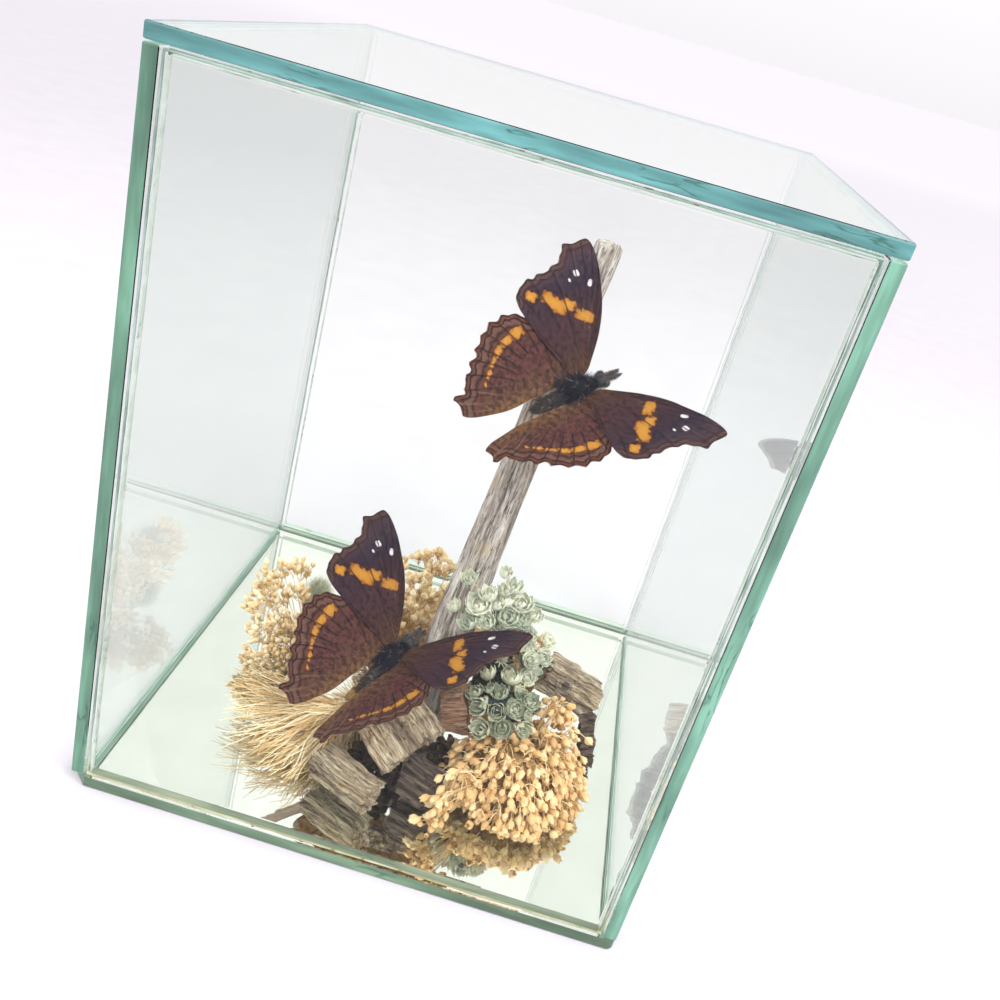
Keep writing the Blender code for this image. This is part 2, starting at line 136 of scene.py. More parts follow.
# Where each wing's veins meet its outline, as places in the list above
FOREWING_VEINS = (3.0, 4.6, 5.8, 7.3, 8.5, 9.6, 13.0, 16.6, 18.8, 21.4)
HINDWING_VEINS = (2.2, 3.5, 5.1, 7.3, 9.2, 10.9, 12.5, 14.6, 16.4, 18.2, 21.0)
FOREWING_STEMS = (1, 6, 9)        # the veins that run from the root itself; the others fork at the cell
HINDWING_STEMS = (1, 7, 10)
FOREWING_MARGIN = (8, 20)         # outline points between which the outer margin runs
HINDWING_MARGIN = (4, 20)
FOREWING_TEETH = (9, 0.35)        # points along the outer margin, and how far they stand out
HINDWING_TEETH = (10, 0.85)
WINGS = {
    "forewing": (FOREWING, FOREWING_VEINS, FOREWING_STEMS, FOREWING_MARGIN, FOREWING_TEETH,
                 Vector((1.6, 0.0, 0.3))),
    "hindwing": (HINDWING, HINDWING_VEINS, HINDWING_STEMS, HINDWING_MARGIN, HINDWING_TEETH,
                 Vector((1.6, -3.0, -0.3))),
}
WING_THICKNESS = 0.14
WING_ROWS = 20                    # steps of the mesh from a wing's root to its rim
RIM_STEPS = 8                     # steps of the rim from one outline point to the next

# Each butterfly: place, turn (degrees), lift of the wings, how far each pair is swept forward,
# and its feet: how far to the right, how far up, and their spread
BUTTERFLIES = {
    "upper": dict(place=(23.1, 11.1, 100.9), turn=(28.6, 26.4, -38.2), lift=21.5,
                  forewing=(0.0, 2.2), hindwing=(0.0, 3.1), feet=(-4.6, -4.4, 1.3)),
    "lower": dict(place=(-3.6, -16.9, 25.9), turn=(18.5, 5.9, -22.3), lift=34.9,
                  forewing=(9.8, -6.0), hindwing=(8.0, -7.5), feet=(0.0, -4.8, 2.8)),
}

# Markings of the upper side: centre, radii and turn (degrees) in each wing's own millimetres
FORE_ORANGE = [
    ((15.0, 7.2), (2.7, 1.55), -54), ((19.2, 4.3), (2.0, 1.45), -47), ((20.9, 0.9), (4.0, 1.75), -33),
    ((24.5, -4.4), (1.65, 1.35), -35)]
FORE_WHITE = [((22.4, 12.3), (0.95, 0.6), 50), ((26.0, 9.8), (0.85, 0.75), 0), ((24.9, 7.2), (0.45, 0.3), 0)]
HIND_ORANGE = [
    ((17.5, -8.7), (2.0, 1.35), -98), ((16.6, -12.1), (1.9, 1.1), -108), ((14.9, -15.1), (1.7, 0.85), -125),
    ((12.7, -17.7), (1.6, 0.62), -132), ((10.4, -20.0), (1.4, 0.42), -136), ((8.3, -21.8), (1.1, 0.28), -140)]

# Colours of the upper side: of the ground by its share of the way out to 35 mm, where the forewing's
# purple and grey toward its apex is painted sheen over its brown, and of the outer margin's lines by
# their distance in from it, millimetres
FORE_GROUND_AND_PAINTED_SHEEN = [(0.06, "#5F4227"), (0.18, "#4C312D"), (0.4, "#492D37"), (0.58, "#402B39"), (0.7, "#35283F"),
               (0.8, "#473847"), (0.92, "#594853"), (1.0, "#564853")]
HIND_GROUND = [(0.03, "#80603F"), (0.11, "#664838"), (0.24, "#623C38"), (0.45, "#603A38"), (0.6, "#653D33")]
FORE_LINES = [(0.0, "#785E52"), (0.2, "#2A1A1E"), (0.5, "#311E22"), (0.75, "#5C4039"), (1.3, "#553935"),
              (1.55, "#2A1B21"), (1.9, "#352128"), (2.5, "#4A353C")]
HIND_LINES = [(0.0, "#A07F6D"), (0.18, "#2C1714"), (0.5, "#2E1814"), (0.68, "#6D4030"), (1.05, "#683C2B"),
              (1.2, "#261516"), (1.5, "#2C1716"), (1.75, "#715045"), (2.6, "#64453B"), (2.85, "#301B1A"),
              (3.3, "#3C211E"), (3.7, "#6A4030"), (4.5, "#593328")]
MARGIN_REACH = 6.0                # how far in from the outer margin its lines are worked out

# Bunches of dried heads: core centre and radii, how many heads go over the core and how far out,
# the headings that keep them, and the heads that stand clear of it
BUNCHES = {
    "bud_bunch": ((33.5, -26.5, 5), (16.5, 18, 13), 210, (0.86, 1.0), (-185, 60),
                  ((19, -50, 6), (20, -48, 14), (20, -49, 10), (21, -45, 18), (38, -18, 20.7), (40, -18, 23),
                   (43.5, -18, 20), (43, -19, 17), (45, -20, 13), (40, -24, 17), (22, -40, 5.5), (27, -42.5, 5),
                   (33, -44, 5), (39, -42.5, 5), (44.5, -38, 5.5))),
    "sage_flowers_low": ((27, -27, 26.6), (7.6, 4.2, 3.2), 10, (0.8, 1.0), (-180, 180), ()),
    "sage_flowers_tall": ((21, -6, 23), (5.6, 4.6, 18.6), 26, (0.85, 1.1), (-180, 180),
                          ((18, -4, 46), (24, -4, 43), (27, -5, 39), (22, -8, 37), (16, -10, 36),
                           (29, -3, 36))),
    "seed_heads_back": ((-6, 15, 5), (11, 11, 16), 56, (0.88, 1.08), (-60, 200),
                        ((-12, 26, 23), (-8, 28, 27), (-4, 28, 30), (1, 22, 29), (-9, 20, 23),
                         (-3, 16, 25), (2, 15, 26), (-6, 10, 23), (-2, 7, 21), (3, 12, 23),
                         (-4, 24, 26), (-9, 4, 19))),
    "seed_heads_right": ((25.5, 16.5, 5), (12, 10, 13), 46, (0.86, 1.02), (-30, 190), ()),
    "seed_heads_left": ((-29, -2, 5), (8.5, 12, 7.6), 60, (0.86, 1.02), (60, 280),
                        ((-45.5, -2, 15), (-47, 4, 17), (-46, 8, 17), (-43, 12, 18), (-40, 16, 18),
                         (-42, -5, 11), (-41, -10, 6), (-39, -12, 6), (-43, 2, 14), (-41, 6, 15),
                         (-37, -6, 12), (-37, -12, 8), (-37, 0, 14), (-37, 8, 15), (-40, -8, 10))),
    "grey_tuft": ((-35.4, 21.6, 9.4), (3.4, 3.4, 5.4), 40, (0.9, 1.2), (-180, 180), ()),
}
GOLDEN_STEP = 137.508             # degrees from one head to the next round a core
STEM_STEPS = 5                    # steps of the mesh along an arched stem
TUFT_HAIRS = 2600

# Sage heads that stand out one by one: place and width
SAGE_HEADS = {
    "sage_flowers_tall": (
        (8.4, -9.0, 49.0, 3.8), (12.0, -12.0, 44.9, 7.0), (11.3, -13.0, 38.6, 4.4), (16.0, -13.0, 40.3, 4.3),
        (18.1, -7.0, 47.5, 3.6), (21.4, -10.0, 42.9, 7.2), (23.4, -6.0, 45.7, 6.4), (27.9, -8.0, 38.2, 4.9),
        (34.1, -3.0, 34.6, 4.9), (31.1, -12.0, 32.2, 7.2), (31.1, -16.0, 30.1, 5.1), (17.1, -9.0, 44.0, 4.0),
        (17.0, -6.0, 51.8, 3.2), (6.7, -8.0, 38.7, 3.4), (14.5, -10.5, 47.0, 4.4), (19.5, -9.5, 39.5, 5.0),
        (25.0, -8.0, 41.5, 5.6), (28.0, -4.0, 42.0, 5.0), (13.6, -12.5, 41.0, 4.8), (20.5, -5.0, 48.0, 4.4),
        (29.0, -10.5, 35.5, 5.6), (26.0, -12.0, 37.0, 5.2), (34.0, -9.0, 33.0, 5.2), (30.5, -14.5, 34.5, 5.0)),
    "sage_flowers_low": (
        (29.8, -30.0, 29.0, 4.4), (33.1, -28.0, 32.0, 4.8), (20.1, -31.0, 27.1, 4.2), (22.2, -33.0, 22.1, 4.6),
        (27.6, -33.0, 24.1, 5.8), (24.3, -27.0, 30.5, 4.2), (26.3, -22.0, 32.1, 4.4), (20.1, -20.0, 29.8, 3.8),
        (24.9, -31.0, 27.3, 4.2), (32.6, -32.0, 25.3, 3.8)),
}

# Finishes of the dried plants and of the litter and painted shade between them: name and tones from
# dark to pale
PLANTS = {
    "straw": ("dry straw-coloured pods", ("#A4784A", "#CA9E68", "#E0BC88", "#EED4A6")),
    "seed": ("dry seed heads", ("#B08C5A", "#DCBC88", "#EED8AC", "#F8EBCC")),
    "sage": ("dry sage petals", ("#5E6A62", "#9CA898", "#CED2BE", "#F0EEDC")),
    # dark sage is the sage petals again, darker as painted shade, for the low heads
    "dark sage": ("dry sage petals in painted shade", ("#465048", "#76826F", "#A9AE95", "#DEDCC2")),
    "fluff": ("pale plant fluff", ("#8E9C8E", "#B2BAA4", "#D0D2BC", "#ECEADA")),
    "stem": ("dry stems", ("#B08A54", "#D8B47C", "#ECD0A0", "#F8E6C0")),
    "brush": ("pale cut stems", ("#B89460", "#E0C08C", "#F0DAAE", "#FBF0D2")),
}
LITTER = {
    # the crumbs are dark bark and painted shade in the gap under the split pieces
    "crumbs": ("dark bark crumbs and painted shade", ("#241B16", "#3C3028", "#544438", "#6E5C4C")),
    # the brown litter cores are litter and painted shade between the heads
    "litter": ("brown plant litter and painted shade", ("#705334", "#A07C4E", "#C49E6A", "#E0C294")),
    # the dark core of the sage bunches is painted shade between their heads
    "shade": ("painted shade inside the sage bunches", ("#232C2C", "#3A4745", "#505D57", "#727C6E")),
}

# The brush of cut stems
BRUSH_ROOT = Vector((-12.6, -27.0, 9.0))
BRUSH_BED = (Vector((3.8, 4.2, 1.2)), Vector((6.2, 7.0, 9.6)))
BRUSH_REACH = [(168, 32), (190, 32), (210, 31), (230, 29), (252, 26), (262, 20), (282, 13)]   # heading, reach
BRUSH_RISE = (-6, 10)             # degrees above the level
BRUSH_STEMS = 430                 # stems of the fan
BED_STEMS = 170                   # short stems lying over the bed
# The heaps of bark crumbs, dark bark and painted shade in the gaps: place, size and how many are tried
CRUMBS_AND_PAINTED_SHADE = ((Vector((-0.5, -38.0, 3.8)), Vector((7.5, 5.5, 11.0)), 170),
          (Vector((14.8, -30.5, 3.8)), Vector((3.8, 4.6, 13.0)), 80))

# The camera, millimetres
CAMERA_PLACE = Vector((17.74, -244.31, 184.62))
CAMERA_RIGHT = Vector((0.95688634, 0.14835632, 0.24971769))
CAMERA_UP = Vector((-0.28914429, 0.4047026, 0.86753178))
CAMERA_BACK = Vector((0.02764242, -0.90233376, 0.43015078))
CAMERA_LENS = 37.638

# The floor of pale paper: its radius, and where it turns whiter, which is painted light, metres
PAPER_RADIUS = 40
PAPER_PAINTED_WHITENING = (0.8, 3.0)

# The light: tint of the sky and its strength at the horizon and from 17 degrees up, and the soft
# lamps (name, place in metres, size in metres, watts)
SKY_TINT = (0.968, 0.945, 0.975, 1)
HORIZON_LIGHT = 0.97
SKY_LIGHT = 1.25
LAMP_AIM = Vector((0, 0, 0.06))
LAMPS = (("key", (0.5, -0.5, 0.95), 0.7, 11.0), ("fill", (-0.6, -0.6, 0.7), 0.9, 4.5),
         ("back", (1.1, 1.0, 1.2), 1.2, 4.0))


# ---------------------------------------------------------------- small tools

def linear(hex_colour):
    channels = [int(hex_colour[i:i + 2], 16) / 255 for i in (1, 3, 5)]
    return [c / 12.92 if c <= 0.04045 else ((c + 0.055) / 1.055) ** 2.4 for c in channels] + [1.0]


def add(tree, kind, sockets=None, out=0, stops=None, **settings):
    """Adds a node, sets it, gives its sockets values or links, and returns its output socket."""
    made = tree.nodes.new("ShaderNode" + kind)
    for name, value in settings.items():
        setattr(made, name, value)
    for name, value in (sockets or {}).items():
        if isinstance(value, bpy.types.NodeSocket):
            tree.links.new(value, made.inputs[name])
        else:
            made.inputs[name].default_value = value
    if stops:
        ramp = made.color_ramp
        for place, colour in stops[2:]:
            ramp.elements.new(place)
        for element, (place, colour) in zip(ramp.elements, sorted(stops)):
            element.position = place
            element.color = linear(colour)
    return made.outputs[out]


def worked(tree, operation, *values):
    """Arithmetic on values or sockets, in the order the operation takes them."""
    return add(tree, "Math", dict(enumerate(values)), operation=operation)


def between(tree, value, low, high, at_low=0.0, at_high=1.0):
    """Goes from at_low to at_high while the value goes from low to high, and stays there beyond."""
    return add(tree, "MapRange", {0: value, 1: low, 2: high, 3: at_low, 4: at_high})


def cloudy(tree, place, scale, detail, roughness=0.5):
    """Noise at a place."""
    return add(tree, "TexNoise", {"Vector": place, "Scale": scale, "Detail": detail, "Roughness": roughness})


def shaded(tree, value, stops):
    """Colours a value by stops of (value, hex colour)."""
    return add(tree, "ValToRGB", {0: value}, stops=stops)


def blend(tree, share, under, over, how="MIX"):
    """Lays one colour, a socket or hex, over another by the given share."""
    over = linear(over) if isinstance(over, str) else over
    return add(tree, "Mix", {0: share, 6: under, 7: over}, out=2, data_type="RGBA", blend_type=how)


def bumped(tree, height, strength, distance):
    """Shows a height as relief, its distance in metres."""
    return add(tree, "Bump", {"Height": height, "Strength": strength, "Distance": distance})


def own_place(tree):
    """Place in the piece's own frame, in metres."""
    return add(tree, "TexCoord", out="Object")


def stored(tree, name, out="Fac"):
    """What the piece's mesh keeps under the name."""
    return add(tree, "Attribute", out=out, attribute_name=name)


def new_material(name):
    mat = bpy.data.materials.new(name)
    mat.use_nodes = True
    return mat, mat.node_tree


def dress(tree, **sockets):
    """Sets the Principled shader's sockets, written with _ for a space."""
    shader = tree.nodes["Principled BSDF"]
    for name, value in sockets.items():
        socket = shader.inputs[name.replace("_", " ")]
        if isinstance(value, bpy.types.NodeSocket):
            tree.links.new(value, socket)
        else:
            socket.default_value = value


def deselect():
    bpy.ops.object.select_all(action="DESELECT")


def pick(*pieces):
    """Selects these pieces and no others, and works on the first."""
    deselect()
    for piece in pieces:
        piece.select_set(True)
    bpy.context.view_layer.objects.active = pieces[0]


def in_scene(name, data):
    """New object with the given mesh, curve, light or camera."""
    made = bpy.data.objects.new(name, data)
    bpy.context.scene.collection.objects.link(made)
    return made


def keep_values(mesh, name, values):
    """Keeps a number for each of the mesh's points."""
    mesh.attributes.new(name, "FLOAT", "POINT").data.foreach_set("value", values)


def strewn(dice, reach):
    """Random shift of up to reach along each axis."""
    return Vector([dice.uniform(-reach, reach) for _ in range(3)])


def in_edit_mode(piece, mode="FACE"):
    bpy.context.view_layer.objects.active = piece
    bpy.context.tool_settings.mesh_select_mode = [mode == kind for kind in ("VERT", "EDGE", "FACE")]
    bpy.ops.object.mode_set(mode="EDIT")


def in_object_mode():
    bpy.ops.object.mode_set(mode="OBJECT")


def choose(piece, items, test):
    """Selects, in object mode, only the vertices, edges or faces that pass the test."""
    for group in (piece.data.vertices, piece.data.edges, piece.data.polygons):
        for item in group:
            item.select = False
    for item in items:
        item.select = bool(test(item))


def apply_modifier(piece, kind, **settings):
    bpy.context.view_layer.objects.active = piece
    made = piece.modifiers.new(kind.lower(), kind)
    for name, value in settings.items():
        setattr(made, name, value)
    bpy.ops.object.modifier_apply(modifier=made.name)


def settle(piece, name, nodes=(), place=None, mats=()):
    """Puts a finished millimetre piece in the frame: its place goes into its mesh, in metres."""
    piece.name = name
    piece.data.name = name
    piece.data.transform(Matrix.Scale(MM, 4) @ (place or Matrix()) @ piece.matrix_basis)
    piece.matrix_basis = Matrix()
    for mat in mats:
        piece.data.materials.append(mat)
    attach(piece, "root")
    if nodes:
        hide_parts(*nodes)
    return piece


def turned_by(degrees):
    x, y, z = (math.radians(a) for a in degrees)
    return Matrix.Rotation(z, 4, "Z") @ Matrix.Rotation(y, 4, "Y") @ Matrix.Rotation(x, 4, "X")


def pointing(place, direction, roll=0.0, size=1.0):
    """Places a copy with its local Z along the direction."""
    turn = direction.to_track_quat("Z", "Y").to_matrix().to_4x4()
    return Matrix.Translation(place) @ turn @ Matrix.Rotation(roll, 4, "Z") @ Matrix.Scale(size, 4)


def shape_of(piece):
    """Takes a modelled piece as points, faces, finishes and tones to copy from, and removes it."""
    points = np.array([v.co for v in piece.data.vertices])
    faces = [tuple(f.vertices) for f in piece.data.polygons]
    finishes = [f.material_index for f in piece.data.polygons]
    tones = np.full(len(points), 0.5)
    if "tone" in piece.data.attributes:
        tones = np.array([item.value for item in piece.data.attributes["tone"].data])
    bpy.data.objects.remove(piece)
    return points, faces, finishes, tones


class Heap:
    """Copies of modelled shapes gathered into one mesh, each with a tone of its own."""

    def __init__(self, seed):
        self.dice = random.Random(seed)
        self.points, self.faces, self.finishes, self.tones = [], [], [], []
        self.count = 0

    def put(self, shape, place, tone=None, own=0.5):
        """Adds a copy; own is the share of its tone that is its own and not the shape's."""
        points, faces, finishes, tones = shape
        matrix = np.array(place)
        self.points.append(points @ matrix[:3, :3].T + matrix[:3, 3])
        self.faces += [tuple(v + self.count for v in face) for face in faces]
        self.finishes += finishes
        tone = self.dice.random() if tone is None else tone
        self.tones.append((tones * (1 - own) + tone * own).astype(np.float32))
        self.count += len(points)

    def build(self, name):
        mesh = bpy.data.meshes.new(name)
        mesh.from_pydata(np.vstack(self.points).tolist(), [], self.faces)
        mesh.polygons.foreach_set("material_index", self.finishes)
        keep_values(mesh, "tone", np.hstack(self.tones))
        piece = in_scene(name, mesh)
        mesh.update()
        return piece


def draw_stems(name, lines, sides=0):
    """Thin stems drawn as one curve object with a round section, then made a mesh.
    Each line is a list of (point, radius)."""
    curve = bpy.data.curves.new(name, "CURVE")
    curve.dimensions = "3D"
    curve.bevel_depth = 1.0
    curve.bevel_resolution = sides
    curve.use_fill_caps = True
    for line in lines:
        spline = curve.splines.new("POLY")
        spline.points.add(len(line) - 1)
        for point, (place, radius) in zip(spline.points, line):
            point.co = (*place, 1)
            point.radius = radius
    pick(in_scene(name, curve))
    bpy.ops.object.convert(target="MESH")
    return bpy.context.object


def join(pieces):
    pick(*pieces)
    bpy.ops.object.join()
    return pieces[0]


def smooth(piece, degrees=None):
    """Shades the piece smooth, everywhere or only where it bends by less than the given degrees."""
    pick(piece)
    if degrees is None:
        bpy.ops.object.shade_smooth()
    else:
        bpy.ops.object.shade_smooth_by_angle(angle=math.radians(degrees))


def valley(value, width):
    """1 along the zero lines of a noise, falling to 0 at the given width."""
    return max(0.0, 1.0 - abs(value) / width) ** 2


# ---------------------------------------------------------------- materials

def float_glass(name, ior, tint):
    """Soda-lime float glass seen through its 3 mm: clear and faintly green, and lamps reach what
    stands inside through it. A low IOR keeps the bright paper from shining back off a pane."""
    mat, tree = new_material("float glass, " + name)
    wave = cloudy(tree, own_place(tree), 25.0, 1.0)
    bump = bumped(tree, wave, 0.05, 0.0003)
    dress(tree, Base_Color=linear(tint), Roughness=0.0, IOR=ior, Transmission_Weight=1.0, Normal=bump)
    shadow = add(tree, "LightPath", out="Is Shadow Ray")
    passing = worked(tree, "MAXIMUM", shadow, shadow.node.outputs["Is Diffuse Ray"])
    surface = add(tree, "MixShader", {0: passing, 1: tree.nodes["Principled BSDF"].outputs[0],
                                      2: add(tree, "BsdfTransparent")})
    depth = add(tree, "VolumeAbsorption", {"Color": GLASS_GREEN, "Density": GLASS_DENSITY})
    output = tree.nodes["Material Output"]
    tree.links.new(surface, output.inputs["Surface"])
    tree.links.new(depth, output.inputs["Volume"])
    return mat


def cut_edge(name, tones, run, glow, skin):
    """Ground edge of a pane, with painted light: the soft blue-green light that runs far through the glass
    and leaves at its edges is painted on, as the edge's colour and as a glow; skin is the share of its
    colour that lamps show. Ripples follow the edge, and a few chips show as dark threads."""
    mat, tree = new_material("glass edge with painted light, " + name)
    place = own_place(tree)
    drawn = add(tree, "Mapping", {"Vector": place,
                                  "Scale": [70.0 if axis == run else 520.0 for axis in range(3)]})
    cloud = cloudy(tree, drawn, 0.55, 3.0, 0.55)
    colour = shaded(tree, cloud, list(zip((0.3, 0.44, 0.56, 0.7), tones)))
    thread = cloudy(tree, drawn, 0.9, 3.0)
    off = worked(tree, "ABSOLUTE", worked(tree, "SUBTRACT", thread, 0.5))
    where = cloudy(tree, place, 55.0, 1.0)
    rare = between(tree, where, 0.56, 0.62, 0.0, 0.7)
    line = worked(tree, "MULTIPLY", between(tree, off, 0.004, 0.03, 1.0, 0.0), rare)
    colour = blend(tree, line, colour, "#2B5548")
    bump = bumped(tree, cloud, 0.5, 0.0006)
    # painted light: the edge glows in its own colour, standing in for light run through the glass
    dress(tree, Base_Color=add(tree, "VectorMath", {0: colour, "Scale": skin}, operation="SCALE"),
          Roughness=0.3, IOR=1.45, Emission_Color=colour, Emission_Strength=glow, Normal=bump)
    return mat


def silvering():
    """Silver on the underside of the base: a bright mirror, a little dimmed by its age."""
    mat, tree = new_material("silvering under glass")
    spots = cloudy(tree, own_place(tree), 60.0, 4.0)
    colour = shaded(tree, spots, [(0.3, "#F4F6F5"), (0.7, "#FBFCFB")])
    dress(tree, Base_Color=colour, Metallic=1.0, Roughness=0.015)
    return mat


def silicone(name, tones, low_tones=None):
    """Cured silicone, run by hand: waxy, with a few brown specks of dirt, and yellowed to cream in
    the lowest 12 mm where it was laid thicker."""
    mat, tree = new_material(name)
    place = own_place(tree)
    cloud = cloudy(tree, place, 110.0, 4.0)
    steps = (0.35, 0.5, 0.65)
    colour = shaded(tree, cloud, list(zip(steps, tones)))
    if low_tones:
        yellowed = shaded(tree, cloud, list(zip(steps, low_tones)))
        height = add(tree, "SeparateXYZ", {0: place}, out=2)
        low = between(tree, height, 0.006, 0.014, 1.0, 0.0)
        colour = blend(tree, low, colour, yellowed)
    dirt = cloudy(tree, place, 420.0, 3.0)
    speck = between(tree, dirt, 0.66, 0.72, 0.0, 0.8)
    colour = blend(tree, speck, colour, "#6E6240")
    bump = bumped(tree, dirt, 0.4, 0.0003)
    dress(tree, Base_Color=colour, Roughness=0.45, IOR=1.41, Normal=bump)
    return mat


def wood(name, tones, groove_depth, roughness=0.85, knot=None, streaks=0.34):
    """Bare weathered wood: fibres 0.3 mm apart along the grain, with darker cracks and pale ridges.
    The grain runs along the X of the piece's own grain attribute, in millimetres. A knot, given as
    its place and radius there, is a dark eye with rings round it."""
    mat, tree = new_material(name)
    grain = stored(tree, "grain", "Vector")
    long = add(tree, "Mapping", {"Vector": grain, "Scale": (0.09, 1.0, 1.0)})
    broad = cloudy(tree, long, 0.55, 5.0, 0.6)
    fibre = cloudy(tree, long, 2.6, 4.0, 0.65)
    split = cloudy(tree, long, 0.9, 2.0)
    patch = cloudy(tree, grain, 0.16, 3.0)
    dark, body, pale, dust = tones
    colour = shaded(tree, broad, [(0.34, dark), (0.45, body), (0.56, pale), (0.7, dust)])
    streak = between(tree, fibre, 0.38, 0.5, streaks, 1.0)
    off = worked(tree, "ABSOLUTE", worked(tree, "SUBTRACT", split, 0.5))
    crack = between(tree, off, 0.006, 0.022, 0.3, 1.0)
    lines = worked(tree, "MULTIPLY", streak, crack)
    colour = blend(tree, 0.85, colour, add(tree, "CombineXYZ", {0: lines, 1: lines, 2: lines}), "MULTIPLY")
    tint = shaded(tree, patch, [(0.3, "#CFC6C2"), (0.5, "#FFFFFF"), (0.72, "#F4E4CC")])
    colour = blend(tree, 0.8, colour, tint, "MULTIPLY")
    relief = worked(tree, "ADD", fibre, broad)
    relief = worked(tree, "ADD", relief, crack)
    if knot:
        place, radius = knot
        far = add(tree, "VectorMath", {0: grain, 1: place}, out=1, operation="DISTANCE")
        eye = worked(tree, "ADD", worked(tree, "MULTIPLY_ADD", broad, 0.9, -0.45),
                     worked(tree, "MULTIPLY", far, 1 / radius))
        ring = shaded(tree, eye, [(0.3, "#3A302C"), (0.5, "#5E524A"), (0.62, "#A89A8C"), (0.75, "#7A6C60"),
                                  (0.9, "#B0A294")])
        near = between(tree, eye, 0.85, 1.0, 0.85, 0.0)
        colour = blend(tree, near, colour, ring)
    bump = bumped(tree, relief, 0.9, groove_depth * MM)
    dress(tree, Base_Color=colour, Roughness=roughness, Specular_IOR_Level=0.25, Normal=bump)
    return mat


def wing_upper(name, ground, margin_lines, orange, white):
    """Scaled upper side of a wing: a brown ground with dark veins, ragged orange marks rimmed in
    red-brown, wavy lines along the outer margin, and a few pale strands of hair from its root."""
    mat, tree = new_material(name)
    flat = add(tree, "UVMap", uv_map="wing")
    scales = cloudy(tree, flat, 3.0, 6.0, 0.75)
    cloud = cloudy(tree, flat, 0.35, 3.0)
    mottle = cloudy(tree, flat, 0.8, 5.0, 0.7)
    stray = add(tree, "TexNoise", {"Vector": flat, "Scale": 1.1, "Detail": 5.0}, out=1)
    shift = add(tree, "VectorMath", {0: stray, 1: (0.5, 0.5, 0.5)}, operation="SUBTRACT")
    place = add(tree, "VectorMath", {0: shift, 1: (2.4, 2.4, 0), 2: flat}, operation="MULTIPLY_ADD")

    def nearest(spots, place):
        reach = None
        for (out, forward), (long, wide), turn in spots:
            own = add(tree, "Mapping", {"Vector": place, "Location": (out, forward, 0),
                                        "Rotation": (0, 0, math.radians(turn)), "Scale": (long, wide, 1)},
                      vector_type="TEXTURE")
            boxy = add(tree, "VectorMath", {0: own, 1: own}, operation="MULTIPLY")
            far = add(tree, "VectorMath", {0: boxy}, out=1, operation="LENGTH")
            reach = worked(tree, "MINIMUM", reach, far) if reach else far
        return reach

    outward = add(tree, "SeparateXYZ", {0: flat}, out=0)
    forward = outward.node.outputs[1]
    span = worked(tree, "MULTIPLY", outward, 1 / 35)
    wander = worked(tree, "MULTIPLY_ADD", cloud, 0.22, worked(tree, "MULTIPLY_ADD", scales, 0.12, span))
    wander = worked(tree, "SUBTRACT", wander, 0.17)
    # the forewing's ground colours hold painted sheen: purple and grey toward the apex
    colour = shaded(tree, wander, ground)
    worn = shaded(tree, mottle, [(0.37, "#6E646E"), (0.47, "#B8ACB2"), (0.55, "#FFF6F2"), (0.63, "#FFE2C8")])
    colour = blend(tree, 0.9, colour, worn, "MULTIPLY")
    vein = stored(tree, "vein")
    margin = stored(tree, "margin")
    ripple = worked(tree, "MULTIPLY_ADD", worked(tree, "SUBTRACT", cloud, 0.5), 1.6, margin)
    ripple = worked(tree, "MULTIPLY_ADD", worked(tree, "SUBTRACT", scales, 0.5), 0.7, ripple)
    lines = shaded(tree, worked(tree, "MULTIPLY", ripple, 1 / MARGIN_REACH),
                   [(far / MARGIN_REACH, tone) for far, tone in margin_lines])
    last = margin_lines[-1][0]
    near_margin = between(tree, ripple, last + 0.6, last - 0.2, 0.0, 0.9)
    colour = blend(tree, near_margin, colour, lines)
    glow = nearest(orange, place)
    mark = shaded(tree, glow, [(0.0, "#C99034"), (0.5, "#BE822E"), (0.8, "#A06624"), (0.98, "#6E3C18")])
    rim = between(tree, glow, 1.9, 1.0, 0.0, 0.7)
    colour = blend(tree, rim, colour, "#341612")
    share = between(tree, glow, 1.2, 0.85)
    colour = blend(tree, share, colour, mark)
    if white:
        pale = between(tree, nearest(white, flat), 1.2, 0.8)
        colour = blend(tree, pale, colour, "#E4E0E0")
    from_root = between(tree, span, 0.08, 0.26, 0.1, 1.0)
    thin = between(tree, vein, 0.3, 0.1, 0.0, 0.85)
    thin = worked(tree, "MULTIPLY", thin, from_root)
    colour = blend(tree, thin, colour, "#1E1214")
    heading = worked(tree, "ARCTAN2", worked(tree, "ADD", forward, 1.5), worked(tree, "ADD", outward, 5.0))
    combed = add(tree, "CombineXYZ", {0: worked(tree, "MULTIPLY", heading, 26.0),
                                      1: worked(tree, "MULTIPLY", outward, 0.09)})
    strands = cloudy(tree, combed, 1.0, 1.0)
    rooted = between(tree, outward, 20.0, 8.0, 0.0, 0.75)
    hairs = worked(tree, "MULTIPLY", between(tree, strands, 0.64, 0.70), rooted)
    colour = blend(tree, hairs, colour, "#7A6050")
    speck = shaded(tree, scales, [(0.39, "#6A6264"), (0.5, "#D8D2D2"), (0.6, "#FFFFFF")])
    colour = blend(tree, 0.85, colour, speck, "MULTIPLY")
    crumbs = add(tree, "TexVoronoi", {"Vector": flat, "Scale": 0.16})
    dust = worked(tree, "LESS_THAN", crumbs, 0.022)
    colour = blend(tree, dust, colour, "#B8AEA6")
    raised = between(tree, vein, 0.0, 0.4, 1.0, 0.0)
    raised = worked(tree, "MULTIPLY", raised, from_root)
    relief = worked(tree, "MULTIPLY_ADD", scales, 0.6, raised)
    bump = bumped(tree, relief, 0.6, 0.00012)
    dress(tree, Base_Color=colour, Roughness=0.7, Specular_IOR_Level=0.1, Normal=bump)
    return mat


